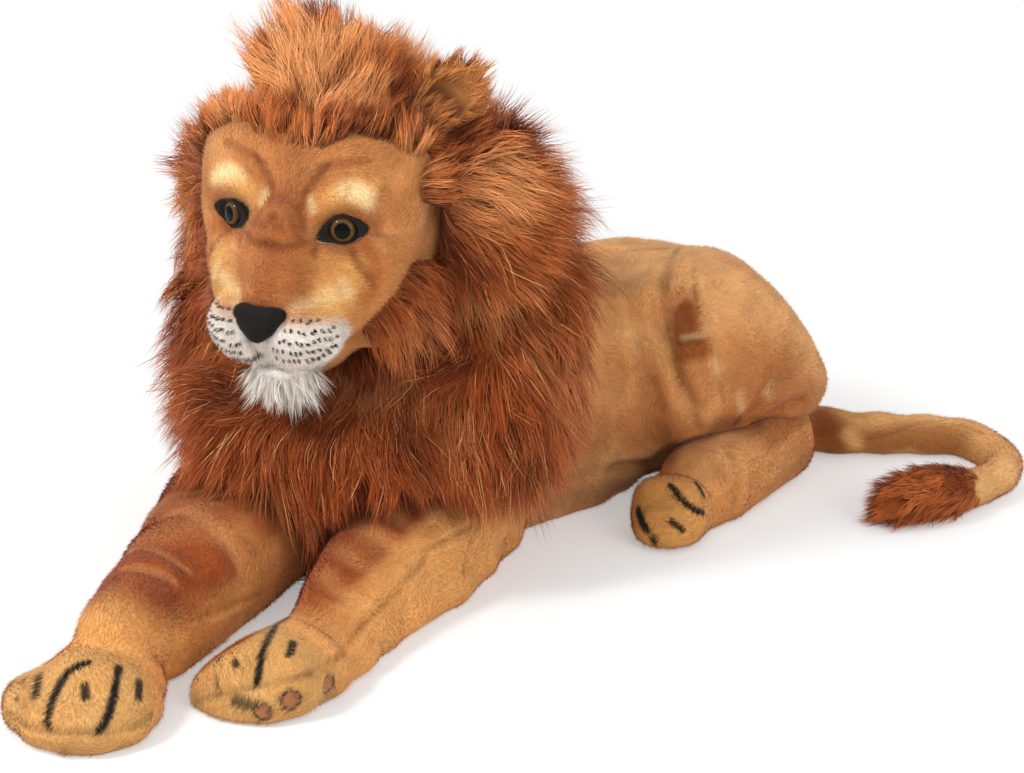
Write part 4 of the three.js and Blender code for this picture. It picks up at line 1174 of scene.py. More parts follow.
# The white muzzle and chin
blended(head, fall(pad_field.at(p), 0.012, 0.012) * fall(p[:, 2], 0.349, 0.02), WHITE)
blended(head, fall(chin_field.at(p), 0.014, 0.012) * fall(p[:, 1], -0.215, 0.03), WHITE)
mouth_middle = head.pixels(*MOUTH_MIDDLE)
head.press(mouth_middle, 0.004, 0.005)
head.shade(mouth_middle, 0.003, 0.35)
for line in both_sides(LIP):
    head.press(line, 0.004, 0.004)
    head.paint(line, 0.002, INK_SOFT, 0.7, 0.7, 0.4)
head.paint(head.pixels(*OPEN_MOUTH), 0.0042, INK, 1, 0.5)
head.refresh()


# Almond places round each eye, as far as they lie from its middle across and up
FACE_TURN = math.radians(24)  # how far the eyes and ears look outwards


def looking(s, lift):
    """The way an eye or ear looks, with s as 1 on the left and -1 on the right."""
    return unit([math.sin(FACE_TURN) * s, -math.cos(FACE_TURN), lift])


def eye_frame(side):
    forward = looking(SIDES[side], 0.06)
    level = np.cross([0, 0, 1.0], forward)
    across = unit(level) * np.sign(SIDES[side] * level[0])
    up = unit(np.cross(forward, across))
    return forward, across, up * np.sign(up[2])


def almond(a, b):
    """The eye's outline, where a runs to the outer corner and b up; below one is inside."""
    corner = np.where(a > 0, 0.0252, 0.0262)
    lift = np.where(a > 0, 0.003 * (a / 0.0252) ** 2, -0.0085 * (a / 0.0262) ** 2)
    return np.abs(a / corner) ** 1.6 + np.abs((b - lift) / 0.0145) ** 1.6


for side in EYES:
    forward, across, up = eye_frame(side)
    off = head.points - EYES[side]
    a, b = off @ across, off @ up
    near_eye = np.abs(off @ forward) < 0.03
    inside = smoothstep((1.25 - almond(a, b)) / 0.3) * near_eye
    # A brown halo round each eye, reaching higher above it: painted shade under the brow
    blended(head, 0.55 * smoothstep((3.2 - almond(a, b - 0.004)) / 2) * near_eye, colour(150, 84, 40))
    blended(head, inside, INK)
    head.pile *= 1 - 0.9 * smoothstep((1.15 - almond(a, b)) / 0.1) * near_eye

# Mane: a ring that rides on the head, and a cape and bib that ride on the torso. Their cloth lies
# deeper than their solids, because the pile fills the rest.
RING = ["mane_crown", "mane_cheek_left", "mane_cheek_right"]
CAPE = ["mane_cape_left", "mane_cape_right", "mane_bib"]
RING_INSET, CAPE_INSET = 0.014, 0.012
MANE_NODES = [*RING, *CAPE, "head_cover"]


def mane_field(*nodes):
    return Field(MANE_NODES, 0.005, 0.08).add(*nodes)


ring_whole = mane_field(*RING)
cape_whole = mane_field(*CAPE)
skull = mane_field("head_cover", "head_stuffing")
trunk = mane_field("torso_cover", "torso_stuffing")
lowered = mane_field("torso_cover", "torso_stuffing", "head_cover", "head_stuffing", *RING, *CAPE)
lowered.close(0.01).blur(0.006)


def mane_cloth(inset, whole, core, *nodes):
    """The cloth under a part of the mane: an inset below the whole outline, but above what it lies on."""
    field = mane_field()
    field.d = smooth_min(lowered.d + inset.astype(np.float32), core.d + np.float32(0.003), 0.01)
    field.d = np.maximum(field.d, mane_field(*nodes).close(0.006).d)
    field.d = np.maximum(field.d, whole.d - np.float32(0.03))
    return field


x, y, z = lowered.x, lowered.y, lowered.z
inset = RING_INSET + rise(x, -0.02, 0.1) * (0.02 * rise(z, 0.5, 0.06) + 0.008 * rise(z, 0.42, 0.08))
inset = inset + 0.017 * rise(z, 0.53, 0.05) * rise(x, -0.07, 0.08)
inset = inset + 0.02 * fall(x, -0.11, 0.05) * rise(z, 0.46, 0.06) * fall(z, 0.545, 0.03)
ring_field = mane_cloth(inset, ring_whole, skull, *RING, "head_cover", "head_stuffing")
grid = np.stack(np.broadcast_arrays(x, y, z), -1).reshape(-1, 3)
ring_field.d = smooth_max(ring_field.d, bareness(grid).reshape(ring_field.d.shape).astype(np.float32), 0.018)
# The cloth under the mane ring is dark rust, as painted shade deep among the strands
ring = Skin(ring_field, MANE_DARK)
inset = CAPE_INSET - 0.018 * fall(x, 0, 0.1) - 0.012 * fall(x, -0.08, 0.04) * fall(z, 0.3, 0.08)
inset = inset + 0.012 * rise(z, 0.3, 0.07) * rise(y, -0.08, 0.06)
cape_field = mane_cloth(inset, cape_whole, trunk, *CAPE, "torso_cover", "torso_stuffing")
# The cloth under the cape and bib is dark rust too, as painted shade deep among the strands
cape = Skin(cape_field, MANE_DARK)

around = mane_field("thigh_left", "thigh_right", "muzzle_pad_left", "muzzle_pad_right", "chin")
for name in ("foreleg_left", "foreleg_right"):
    around.add(*legs[name].nodes[:2])
around.d = np.minimum(around.d, np.minimum(skull.d, trunk.d))
around.d = np.minimum(around.d, np.minimum(ring_field.d, cape_field.d))
around.blur(0.004)

# The pile of the torso and the limbs
torso.pile *= np.minimum(cape_whole.at(torso.points), ring_whole.at(torso.points)) > 0.004
head.pile *= bareness(head.points) > -0.006
short_pile("torso_pile", torso, "torso", one_way([0.15, 1.0, -0.35]))
for name, skin in legs.items():
    paw_low, paw_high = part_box(skin.nodes[2])
    root_low, root_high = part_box(skin.nodes[0])
    down_leg = unit(np.array(paw_low + paw_high) - np.array(root_low + root_high)) + np.array([0, 0, -0.25])
    short_pile(name + "_pile", skin, name, one_way(down_leg))

NOSE_TIP = np.array([0, -0.33, 0.36])
short_pile(
    "head_pile", head, "head", lambda p: p - NOSE_TIP + np.array([0, 0.02, 0]),
    0.0016, 0.0062, 0.0009, 0.5, contrast=0.24,
)

# Black flecks in rows on the muzzle, where the whiskers would be
FLECK_FIBRES = 24
fleck_at = []
for row in DOT_ROWS:
    for line in both_sides(row):
        line = rounded(line, 10)
        steps = np.r_[0, np.cumsum(np.linalg.norm(np.diff(line, axis=0), axis=1))]
        for place_at in np.arange(draw.uniform(0, 0.004), steps[-1], 0.006):
            fleck_at.append([np.interp(place_at, steps, line[:, axis]) for axis in range(3)])
fleck_at = np.repeat(np.array(fleck_at) + draw.normal(0, 0.0008, (len(fleck_at), 3)), FLECK_FIBRES, 0)
fleck_at = head.nearest(fleck_at + draw.normal(0, 0.0009, (len(fleck_at), 3)))
fleck_normal = np.array([head.find().find_nearest(Vector(q))[1] for q in fleck_at])
fleck_places = fleck_at + fleck_normal * 0.0008, fleck_normal, np.tile(INK_SOFT * 0.8, (len(fleck_at), 1))
short_pile(
    "muzzle_flecks", head, "head", lambda p: p - NOSE_TIP,
    length=0.0038, width=0.0007, lift=0.6, swirl=0.1, places=fleck_places,
)


# Long pile of the mane
FACE_MIDDLE = np.array([0, -0.2, 0.40])
BACKWARDS = np.array([0, 1, 0])


def mane_tints(p):
    """Rust in soft patches: deeper low down as painted shade, lighter on the crown as painted light, and
    deeper near the face as painted shade.
    """
    z = p[:, 2]
    # Painted shade low down and painted light on the crown
    high = rise(z, 0.24, 0.34)[:, None]
    tint = mixed(MANE_DEEP, MANE, np.clip(high * 1.1, 0, 1))
    patch = clouds(p, 0.055)
    tint = mixed(tint, MANE_LIGHT, np.clip(patch * (0.12 + 0.25 * high) + high * 0.25, 0, 0.7))
    tint = mixed(tint, MANE_DARK, np.clip(-patch * 0.35 - 0.05, 0, 0.6))
    single = draw.random((len(p), 1))
    tint = mixed(tint, MANE_LIGHT, (single < 0.07) * 0.7)
    tint = mixed(tint, MANE_DARK, (single > 0.93) * 0.6)
    # Painted shade in the hair beside the face
    beside = smoothstep(1 + bareness(p) / 0.035) * fall(z, 0.47, 0.06) * rise(z, 0.26, 0.04)
    return mixed(tint, MANE_DEEP, 0.6 * beside[:, None])


def ring_flow(p, n):
    """The way the mane grows round the face: outwards, back and down, in swirls."""
    y, z = p[:, 1], p[:, 2]
    out = unit((p - FACE_MIDDLE) * [1, 0.4, 1])
    sag = np.clip(fall(z, 0.56, 0.3) + 0.5 * rise(y, -0.11, 0.06) * fall(z, 0.5, 0.06), 0, 1)[:, None]
    swirl = clouds(p, 0.075, 3) * 0.25
    edge = smoothstep(1 + bareness(p) / 0.025)[:, None]
    start = n * (0.7 - 0.45 * edge) + out * (0.6 + 0.4 * edge) + BACKWARDS * 0.1 - BACKWARDS * 0.4 * edge
    finish = out * (0.8 - 0.45 * sag) + BACKWARDS * 0.4 * (1 - 0.85 * sag) + np.array([0, 0, -1.15]) * sag
    return unit(start + swirl), unit(finish + swirl)


def in_two(name, body, *strands):
    """The same strands as two pieces, because one piece may only have so many faces."""
    order = draw.permutation(len(strands[0]))
    half = len(order) // 2
    for word, part in (("a", order[:half]), ("b", order[half:])):
        long_pile(f"{name}_{word}", body, *[v[part] for v in strands], around, "mane_fur", 32, wave=0.035)


def not_under_chin(p, height):
    """Leaves out low roots at the front, which would stand out beside the beard."""
    return (p[:, 2] > height) | (p[:, 1] > -0.225)


ring_root, ring_normal, _ = grown(ring, 0.0024)
kept = (bareness(ring_root) < 0.004) & (head_field.at(ring_root) > -0.008)
kept &= np.minimum(cape_whole.at(ring_root), trunk.at(ring_root)) > -0.002
edge_root, edge_normal, _ = grown(head, 0.0024, np.ones(len(head.points)))
edge_kept = (bareness(edge_root) < -0.008) & (ring_field.at(edge_root) > -0.002) & (edge_root[:, 2] > 0.24)
edge_kept &= not_under_chin(edge_root, 0.3)
root = np.vstack([ring_root[kept], edge_root[edge_kept]])
normal = np.vstack([ring_normal[kept], edge_normal[edge_kept]])
start, finish = ring_flow(root, normal)
x, y, z = root.T
close = smoothstep(1 + bareness(root) / 0.03)
length = draw.uniform(0.046, 0.072, len(root)) * (1 - 0.25 * close)
length *= 1 - 0.15 * fall(x, -0.15, 0.06)
length *= 1 - 0.25 * rise(z, 0.56, 0.04)
length *= 1 - 0.45 * fall(x, -0.09, 0.05) * rise(z, 0.44, 0.05) * fall(z, 0.535, 0.03)
length *= 1 + 0.45 * fall(x, -0.05, 0.04) * rise(z, 0.51, 0.03)
length *= 1 - 0.35 * rise(x, -0.06, 0.05) * fall(x, 0.075, 0.03) * rise(z, 0.54, 0.04)
length *= 1 - 0.3 * rise(x, 0, 0.05) * rise(z, 0.45, 0.08)
length *= 1 + 0.9 * rise(y, -0.11, 0.05) * fall(z, 0.46, 0.05)

# The fringe, where the mane rises from the forehead and the sides of the face
fringe_root, fringe_normal, _ = grown(head, 0.0017, np.ones(len(head.points)))
bare = bareness(fringe_root)
kept = (bare < 0.003) & (bare > -0.012) & (ring_field.at(fringe_root) > -0.001) & (fringe_root[:, 2] > 0.26)
kept &= not_under_chin(fringe_root, 0.32)
fringe_root, fringe_normal = fringe_root[kept], fringe_normal[kept]
_, fringe_finish = ring_flow(fringe_root, fringe_normal)
aside = unit(fringe_root * [1, 0, 1] - FACE_MIDDLE * [1, 0, 1])
fringe_start = unit(aside * 0.9 + fringe_normal * 0.5 + clouds(fringe_root, 0.04, 3) * 0.25)
fringe_finish = unit(fringe_finish + aside * 0.4)
long_pile(
    "mane_fringe", "head", fringe_root, fringe_normal, mane_tints(fringe_root), fringe_start, fringe_finish,
    draw.uniform(0.03, 0.052, len(fringe_root)), around, "mane_fur", 24, gather=0.4,
)
in_two("mane_ring", "head", root, normal, mane_tints(root), start, finish, length)

root, normal, _ = grown(cape, 0.0026)
kept = (cape_whole.at(root) < 0.014) & (torso_field.at(root) > -0.006)
kept &= np.minimum(ring_whole.at(root), skull.at(root)) > -0.002
root, normal = root[kept], normal[kept]
x, y, z = root.T
swirl = clouds(root, 0.08, 3)
flare = fall(x, 0, 0.15)[:, None]
away = unit(root * [1, 1, 0] + [0, 0.1, 0])
rim = (rise(normal[:, 2], 0.15, 0.35) * rise(z, 0.28, 0.04))[:, None]
start = normal * (0.7 + 0.9 * flare) * (1 - 0.5 * rim) + np.array([0, 0, -0.9]) * (1 - rim) + away * rim
finish = normal * (0.15 + 0.5 * flare) * (1 - rim) + away * 0.35 * rim + np.array([0, 0.15, -1.0])
start, finish = unit(start + swirl * 0.2), unit(finish + swirl * 0.22)
chest = fall(z, 0.17, 0.06) * fall(np.abs(x), 0.09, 0.04) * fall(y, -0.1, 0.05)
length = draw.uniform(0.055, 0.085, len(root)) * (1 + 0.7 * chest) * (1 - 0.1 * fall(x, -0.15, 0.06))
in_two("mane_cape", "torso", root, normal, mane_tints(root), start, finish, length)

# Tail: one tube, cut into a length for each of its three parts
TAIL_ROUTE = [
    (0.16, 0.39, 0.06), (0.24, 0.414, 0.03), (0.346, 0.41, 0.026), (0.43, 0.443, 0.0245),
    (0.508, 0.468, 0.0235), (0.576, 0.414, 0.023), (0.575, 0.338, 0.022), (0.546, 0.294, 0.021),
]
TAIL_LINE = rounded(TAIL_ROUTE, 8)
TAIL_PARTS = [0, 0.25, 0.35, 0.6, 0.85, 1]
TAIL_THICK = [0.032, 0.029, 0.025, 0.022, 0.0205, 0.017]
TAIL_RADII = np.interp(np.linspace(0, 1, len(TAIL_LINE)), TAIL_PARTS, TAIL_THICK)
TAIL_NODES = ["tail_base", "tail_middle", "tail_end"]
TAIL_RUST = ((822, 415), (830, 430), (838, 445))  # these four are pixels of the photograph
TAIL_PALE = ((848, 436), (854, 444))
TAIL_CREAM = ((985, 490), (1000, 484), (1010, 468))
TAIL_SEAM = ((868, 438), (897.5, 431.4), (924.5, 420.6), (959.6, 424.6), (984, 434))
tail_field = Field(TAIL_NODES, 0.003, 0.03).tube(TAIL_LINE, TAIL_RADII, 0.004)
tail_field.d += np.float32(0.0012) * np.sin(tail_field.x * 90 + tail_field.y * 70).astype(np.float32)
tail_field.floor(0.004)
tail = Skin(tail_field, GOLD)
tail.colours = np.tile(colour(208, 148, 82), (len(tail.points), 1))
# Painted light on the faces that look up, with lighter patches at random
blended(tail, 0.5 * rise(tail.normals[:, 2], -0.2, 1.0) + 0.2 * clouds(tail.points, 0.04)[:, 0], TAN_LIGHT)
under_tail = 0.75 * rise(tail.normals @ np.array([0.3, -0.75, 0.1]), 0.2, 0.6)
under_tail = under_tail * smoothstep(0.7 + clouds(tail.points, 0.05)[:, 0]) * (tail.points[:, 0] < 0.56)
blended(tail, under_tail, colour(158, 92, 44))
tail.paint(tail.pixels(*TAIL_RUST), 0.016, RUST_DEEP, 0.75, 0.8)
tail.paint(tail.pixels(*TAIL_PALE), 0.009, TAN_LIGHT, 0.7, 0.9)
tail.paint(tail.pixels(*TAIL_CREAM), 0.016, colour(236, 190, 128), 0.6, 0.9)
seam(tail, tail.pixels(*TAIL_SEAM), 0.002, 0.0015, 0.75)
tail.refresh()


def along_tail(p):
    return line_distance(p, TAIL_LINE)[1]


def part_of(skin, kept):
    """Some faces of a skin, as a skin of their own."""
    used, quads = np.unique(skin.quads[kept], return_inverse=True)
    piece = object.__new__(Skin)
    piece.points, piece.quads = skin.points[used], quads.reshape(-1, 4)
    piece.normals, piece.colours, piece.pile = skin.normals[used], skin.colours[used], skin.pile[used]
    piece.tree = None
    return piece


def tail_flow(p):
    row = np.clip((along_tail(p) * (len(TAIL_LINE) - 1)).astype(int), 0, len(TAIL_LINE) - 2)
    return TAIL_LINE[row + 1] - TAIL_LINE[row]


face_along = along_tail(tail.points[tail.quads].mean(1))
cut_places = along_tail(np.array([[0.335, 0.42, 0.025], [0.505, 0.46, 0.025]]))
tail_cuts = [-1, cut_places[0], cut_places[1], 2]
tail_bends = [
    ("torso", "tail_base", (0.25, 0.43, 0), (0.3, 0.424, 0)),
    ("tail_base", "tail_middle", (0.413, 0.434, 0), (0.461, 0.447, 0)),
    ("tail_middle", "tail_end", (0.574, 0.43, 0), (0.572, 0.38, 0)),
]
for i, (node, bend) in enumerate(zip(TAIL_NODES, tail_bends)):
    piece = part_of(tail, (face_along > tail_cuts[i]) & (face_along <= tail_cuts[i + 1]))
    piece.points[:, 2] = np.maximum(piece.points[:, 2], 0)
    obj = mesh_object(node + "_skin", piece.points, piece.quads, plush, piece.colours, smooth=True)
    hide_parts(node)
    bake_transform(obj)
    fur = short_pile(node + "_pile", piece, None, tail_flow, swirl=0.2)
    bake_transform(fur)

# The tuft of the tail: a brush that swells and then runs out in points
TUFT_PLACES = [(0.56, 0.314, 0.022), (0.537, 0.276, 0.027), (0.51, 0.245, 0.025), (0.492, 0.224, 0.016)]
TUFT_ROUTE = rounded(TUFT_PLACES)
TUFT_RADII = np.interp(np.linspace(0, 1, len(TUFT_ROUTE)), [0, 0.35, 0.7, 1], [0.018, 0.029, 0.024, 0.008])
tuft_field = Field(["tail_tuft"], 0.003, 0.06).tube(TUFT_ROUTE, TUFT_RADII, 0.004).floor(0.004)
# The cloth under the tuft is dark rust, as painted shade deep among the strands
tuft = Skin(tuft_field, MANE_DARK)
root, normal, _ = grown(tuft, 0.0014)
TUFT_WAY = unit(np.array([-0.07, -0.09, -0.03]))
length = draw.uniform(0.02, 0.038, len(root))
start = unit(normal * 0.7 + TUFT_WAY + clouds(root, 0.03, 3) * 0.2)
finish = unit(normal * 0.1 + TUFT_WAY + np.array([0, 0, -0.12]) + clouds(root, 0.03, 3) * 0.2)
tuft_tint = mixed(MANE_DEEP, MANE, np.clip(0.75 + 0.4 * clouds(root, 0.03), 0, 1)) * 0.95
long_pile(
    "tail_tuft_strands", "tail_end", root, normal, tuft_tint, start, finish, length, tuft_field,
    "mane_fur", 26, gather=0.4, width=0.0007, clearance=0.003, stray=0.2,
)
tuft.object("tail_tuft_backing", plush, "tail_end", ["tail_tuft"], "mane_fur")

# Ears: golden pile outside, a hollow inside painted dark as shade, and mane hair round them
for side, s in SIDES.items():
    name = f"ear_{side}"
    ear_field = Field([name], 0.002, 0.02).add(name).blur(0.003)
    ear = Skin(ear_field, colour(206, 140, 80), 0.001)
    facing = looking(s, 0.1)
    away = unit([s * 0.63, 0.23, 0.74])
    foot = np.array([0.073 * s, -0.129, 0.496])
    up_ear = (ear.points - foot) @ away
    # Painted shade in the hollow, darkest deep at its foot
    hollow = rise(ear.normals @ facing, 0.2, 0.5) * fall(up_ear, 0.07, 0.02)
    blended(ear, 0.85 * hollow, colour(112, 58, 30))
    blended(ear, 0.9 * hollow * fall(up_ear, 0.05, 0.02), INK_SOFT)
    short_pile(f"{name}_pile", ear, name, one_way(away), 0.0018, 0.008, 0.0009, 0.5)
    root, normal, _ = grown(ear, 0.0019)
    kept = (normal @ facing < 0.5) | ((root - foot) @ away < 0.034)
    kept |= np.linalg.norm(root - foot - away * 0.042, axis=1) > 0.024
    root, normal = root[kept], normal[kept]
    tint = mixed(mane_tints(root), colour(226, 160, 92), 0.4)
    start = unit(normal * 0.5 + away + clouds(root, 0.03, 3) * 0.2)
    finish = unit(normal * 0.35 + away * 0.8 + np.array([0.15 * s, 0.2, -0.2]) + clouds(root, 0.03, 3) * 0.3)
    long_pile(
        f"{name}_strands", name, root, normal, tint, start, finish, draw.uniform(0.018, 0.034, len(root)),
        ear_field, "mane_fur", 20, clearance=0.002,
    )
    ear.object(f"{name}_skin", plush, name, [name, f"ear_lining_{side}"], "mane_fur", 0.5)

# Eyes: a glossy dome over an olive iris and a black pupil, in a black felt almond
eye_glass, glass_tree, glass_shader = new_material("eye_glass", 0.06, 0.0, 0.05)
glass_shader.inputs["Coat Weight"].default_value = 0.12
glass_shader.inputs["Coat Roughness"].default_value = 0.03
tinted(glass_tree, glass_shader, ranged(glass_tree, noise(glass_tree, 300, 3), 0.3, 0.7, 0.8, 1.2))
felt = plush_backing("black_felt", 0.95, 0.02)
DOME_ROWS, DOME_TURNS = 26, 48
DOME_LEANS = [k / DOME_ROWS * math.pi / 2 for k in range(DOME_ROWS)]


def dome(middle, forward, radius, height):
    """Points of a dome over a disc, as rings from its rim to its top."""
    side = unit(np.cross([0, 0, 1.0], forward))
    up = np.cross(forward, side)
    turn = np.arange(DOME_TURNS) * 2 * math.pi / DOME_TURNS
    round_disc = np.cos(turn)[:, None] * side + np.sin(turn)[:, None] * up
    rings = []
    for lean in DOME_LEANS:
        rings.append(middle + round_disc * (radius * math.cos(lean)) + forward * height * math.sin(lean))
    return rings, middle + forward * height


def ring_surface(name, rings, top, colours, material, body, replaces):
    """Joins rings of points into a smooth surface that closes at its top."""
    count = len(rings[0])
    points = np.vstack([*rings, top])
    i = np.arange(count)
    j = (i + 1) % count
    last = (len(rings) - 1) * count
    band = np.stack([i, j, count + j, count + i], 1)
    quads = np.vstack([band + k for k in range(0, last, count)])
    cap = np.stack([last + i, last + j, np.full(count, len(points) - 1)], 1)
    triangles = np.vstack([quads[:, [0, 1, 2]], quads[:, [0, 2, 3]], cap])
    place(mesh_object(name, points, triangles, material, colours, smooth=True), body, replaces)


EYE_RADIUS, EYE_DOME = 0.0142, 0.009
OLIVE, OLIVE_DEEP, PUPIL = colour(90, 64, 30), colour(44, 30, 16), colour(5, 5, 6)
LID_POINTS = 96
LID_RINGS = (  # share of the way from the hole to the edge, and height above the face
    (1.1, -0.003), (1.09, 0.0022), (1.0, 0.0028), (0.985, 0.0028), (0.5, 0.0032), (0.0, 0.003),
    (-0.05, -0.004),
)
for side in SIDES:
    forward, across, up = eye_frame(side)
    rings, top = dome(EYES[side] + forward * 0.0015, forward, EYE_RADIUS, EYE_DOME)
    spread = np.repeat([math.cos(lean) for lean in DOME_LEANS], DOME_TURNS)
    spread = np.append(spread, 0.0)[:, None]
    tints = np.where(spread < 0.6, PUPIL, np.where(spread < 0.86, OLIVE, OLIVE_DEEP))
    tints = np.where((spread > 0.78) & (spread < 0.86), (OLIVE + OLIVE_DEEP) / 2, tints)
    eye_nodes = [f"eye_dome_{side}", f"eye_iris_{side}"]
    ring_surface(f"eye_{side}", rings, top, tints, eye_glass, "head", eye_nodes)

    # The felt lids: an almond rim that lies on the face, with a pale edge below
    turn = np.linspace(0, 2 * math.pi, LID_POINTS + 1)[:-1]
    ca, cb = np.cos(turn), np.sin(turn)
    reach = np.linspace(0.004, 0.034, 400)[:, None]
    outside = almond(reach * ca, reach * cb) > 1
    edge = reach[outside.argmax(0)] * np.stack([ca, cb], 1)
    hole = np.stack([ca * 0.0146, np.where(cb > 0, cb * 0.0118, cb * 0.0128)], 1)
    rings, tints = [], []
    for share, out in LID_RINGS:
        flat = hole * (1 - share) + edge * share
        base = EYES[side] + flat[:, :1] * across + flat[:, 1:] * up
        height = np.linspace(0.03, -0.02, 101)
        line = base[:, None, :] + forward * height[None, :, None]
        inside = head_field.at(line.reshape(-1, 3)).reshape(len(base), -1) < 0.001
        lying = np.where(inside.any(1), height[inside.argmax(1)], 0.002)
        lying = np.maximum(lying, 0.0035 - 0.2 * np.abs(flat[:, 0]))
        for _ in range(4):
            lying = (lying + np.roll(lying, 1) + np.roll(lying, -1)) / 3
        rings.append(base + forward * (lying + out)[:, None])
        pale = fall(cb, -0.25, 0.25) * (share > 0.99) * 0.9
        tints.append(mixed(np.tile(INK, (LID_POINTS, 1)), colour(222, 198, 176), pale[:, None]))
    top = EYES[side] - forward * 0.004
    tints = np.vstack([np.vstack(tints), [INK]])
    ring_surface(f"eyelid_{side}_felt", rings, top, tints, felt, "head", [f"eyelid_{side}"])

# Nose: short black pile
nose_field = Field(["nose"], 0.002, 0.03)
for s in (-1, 1):
    nose_field.oval((0.0155 * s, -0.326, 0.344), (0.0145, 0.014, 0.009), 0.006)
    nose_field.oval((0.011 * s, -0.33, 0.334), (0.0115, 0.011, 0.011), 0.007)
nose_field.oval((0, -0.333, 0.33), (0.0125, 0.012, 0.0155), 0.008)
nose_field.oval((0, -0.328, 0.3445), (0.012, 0.012, 0.0075), 0.006)
nose_field.blur(0.002)
nose = Skin(nose_field, INK)
short_pile("nose_pile", nose, "head", one_way([0, 0, -1.0]), 0.0012, 0.003, 0.0006)
nose.object("nose_skin", felt, "head", ["nose"], "nose_plush")

# Beard
BEARD_NODES = ["chin_beard", "chin"]
beard_field = Field(BEARD_NODES, 0.003, 0.05).add("chin_beard", grow=-0.008).blur(0.003)
under_beard = Field(BEARD_NODES, 0.003, 0.05).add("chin", grow=-0.002)
beard_field.d = smooth_min(beard_field.d, under_beard.d, 0.01)
# The cloth under the beard is a darker white, as painted shade deep among the strands
beard = Skin(beard_field, WHITE * 0.8)
root, normal, _ = grown(beard, 0.0013)
kept = (root[:, 2] < 0.278) & (head_field.at(root) > -0.006)
root, normal = root[kept], normal[kept]
fan = root * [14, 0, 0]
start = unit(normal * 0.7 + fan + np.array([0, -0.15, -0.9]))
finish = unit(normal * 0.2 + fan + np.array([0, -0.05, -1.0]))
long_pile(
    "chin_beard_strands", "head", root, normal, np.tile(WHITE, (len(root), 1)), start, finish,
    draw.uniform(0.018, 0.042, len(root)), beard_field, "beard_fur", 10,
    clearance=0.003, width=0.0007, wave=0.04, root_shade=0.8, tip_shade=1.05,
)
beard.object("chin_beard_backing", plush, "head", ["chin_beard"], "beard_fur")

TORSO_NODES = ["torso_cover", "torso_stuffing", "thigh_left", "thigh_right"]
torso.object("torso_skin", plush, "torso", TORSO_NODES, "golden_plush", 0.85)
for name, skin in legs.items():
    skin.object(name + "_skin", plush, name, skin.nodes, "golden_plush", 0.85)
head.object("head_skin", plush, "head", ["head_cover", "head_stuffing", *HEAD_NODES[1:]], "golden_plush", 0.9)
ring.object("mane_ring_backing", plush, "head", RING, "mane_fur")
cape.object("mane_cape_backing", plush, "torso", CAPE, "mane_fur")

# The neck, inside the mane
neck = Skin(Field(["neck"], 0.004, 0.03).add("neck").blur(0.004), TAN)
blended(neck, 0.3 * clouds(neck.points, 0.05)[:, 0], TAN_LIGHT)
neck.object("neck_skin", plush, "neck", ["neck"], "golden_plush", 0.8)


def moulded():
    """Black moulded plastic with a fine grain, for the eyes' shanks and washers."""
    material, tree, shader = new_material("eye_fixing_plastic", 0.45)
    grain = ranged(tree, noise(tree, 900, 2), 0.3, 0.7, 0.7, 1.3)
    scale = tree.nodes.new("ShaderNodeVectorMath")
    scale.operation = "SCALE"
    scale.inputs[0].default_value = (0.03, 0.03, 0.032)
    tree.links.new(grain, scale.inputs["Scale"])
    tree.links.new(scale.outputs["Vector"], shader.inputs["Base Color"])
    bumped(tree, shader, noise(tree, 900, 2), 0.2, 0.0002)
    return material


fixing = moulded()
for name in ("eye_shank_left", "eye_shank_right", "eye_washer_left", "eye_washer_right"):
    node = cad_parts[name]
    node.data.materials.clear()
    node.data.materials.append(fixing)

# Floor, light and world
FLOOR_WHITE = 0.35  # how much plain white the floor has near the lion
FLOOR_HALF = 6
FLOOR_DROP = 0.0006


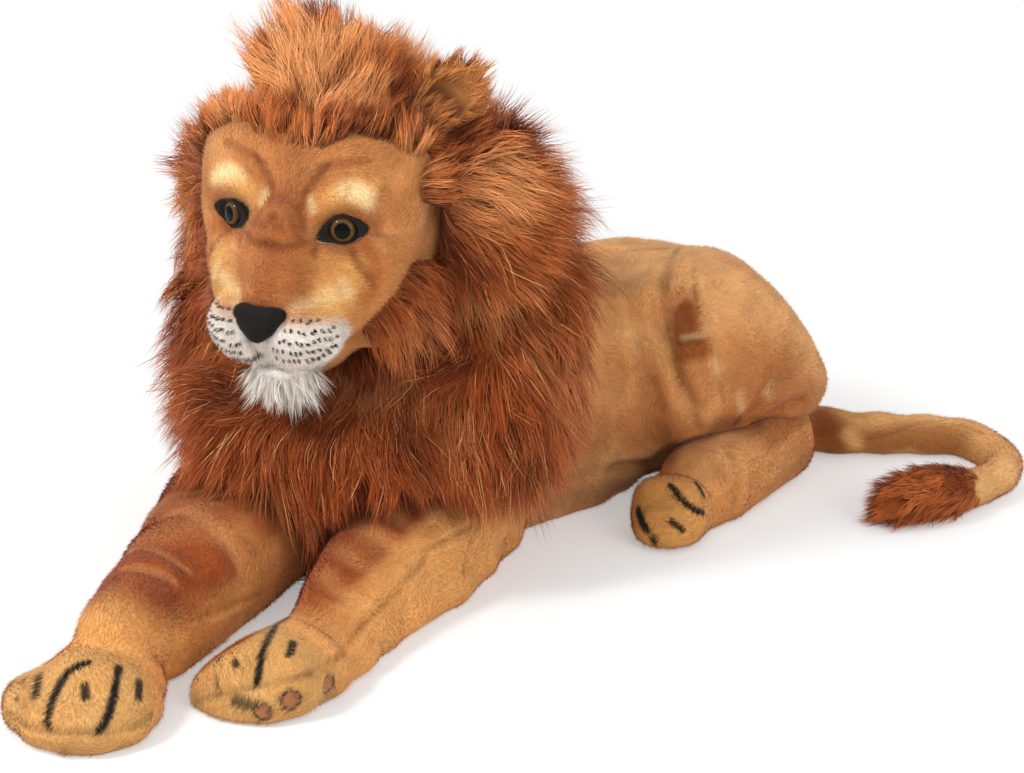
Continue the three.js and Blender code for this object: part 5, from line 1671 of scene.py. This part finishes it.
def white_floor():
    """White that keeps the object's shadow near it and turns to plain white further away."""
    material, tree, shader = new_material("floor", 0.9, 0, 0)
    nodes, links = tree.nodes, tree.links
    grain = ranged(tree, noise(tree, 3, 2), 0, 1, 0.97, 1.0)
    links.new(grain, shader.inputs["Base Color"])
    white = nodes.new("ShaderNodeEmission")
    white.inputs["Color"].default_value = (1, 1, 1, 1)
    white.inputs["Strength"].default_value = 1
    place_of = nodes.new("ShaderNodeTexCoord")
    away = nodes.new("ShaderNodeVectorMath")
    away.operation = "DISTANCE"
    away.inputs[1].default_value = (0.1, -0.05, 0)
    links.new(place_of.outputs["Object"], away.inputs[0])
    share = ranged(tree, away.outputs["Value"], 0.5, 1.3, FLOOR_WHITE, 1)
    path = nodes.new("ShaderNodeLightPath")
    mix = nodes.new("ShaderNodeMixShader")
    links.new(times(tree, share, path.outputs["Is Camera Ray"]), mix.inputs["Fac"])
    links.new(shader.outputs["BSDF"], mix.inputs[1])
    links.new(white.outputs["Emission"], mix.inputs[2])
    links.new(mix.outputs["Shader"], nodes["Material Output"].inputs["Surface"])
    return material


corners = [[x * FLOOR_HALF, y * FLOOR_HALF, -FLOOR_DROP] for x, y in ((-1, -1), (1, -1), (1, 1), (-1, 1))]
floor = mesh_object("floor", np.array(corners), np.array([[0, 1, 2, 3]]), white_floor())

# The world lights the lion softly, and the camera sees it as plain white
world = bpy.data.worlds.new("studio")
bpy.context.scene.world = world
world.use_nodes = True
tree = world.node_tree
light = tree.nodes["Background"]
seen = tree.nodes.new("ShaderNodeBackground")
for node, strength in ((light, 0.75), (seen, 1)):
    node.inputs["Color"].default_value = (1, 1, 1, 1)
    node.inputs["Strength"].default_value = strength
path = tree.nodes.new("ShaderNodeLightPath")
mix = tree.nodes.new("ShaderNodeMixShader")
tree.links.new(path.outputs["Is Camera Ray"], mix.inputs["Fac"])
tree.links.new(light.outputs["Background"], mix.inputs[1])
tree.links.new(seen.outputs["Background"], mix.inputs[2])
tree.links.new(mix.outputs["Shader"], tree.nodes["World Output"].inputs["Surface"])


LIGHT_AIM = Vector((0.1, 0, 0.2))


def area_light(name, location, size, power):
    data = bpy.data.lights.new(name, "AREA")
    data.shape = "DISK"
    data.size = size
    data.energy = power
    obj = bpy.data.objects.new(name, data)
    bpy.context.scene.collection.objects.link(obj)
    obj.location = location
    obj.rotation_mode = "QUATERNION"
    obj.rotation_quaternion = (LIGHT_AIM - Vector(location)).to_track_quat("-Z", "Y")


area_light("key", (-1.4, -2.2, 2.8), 0.9, 75)
area_light("fill", (2.8, -1.2, 1.4), 2.0, 25)

view = bpy.context.scene.view_settings
view.view_transform = "Standard"
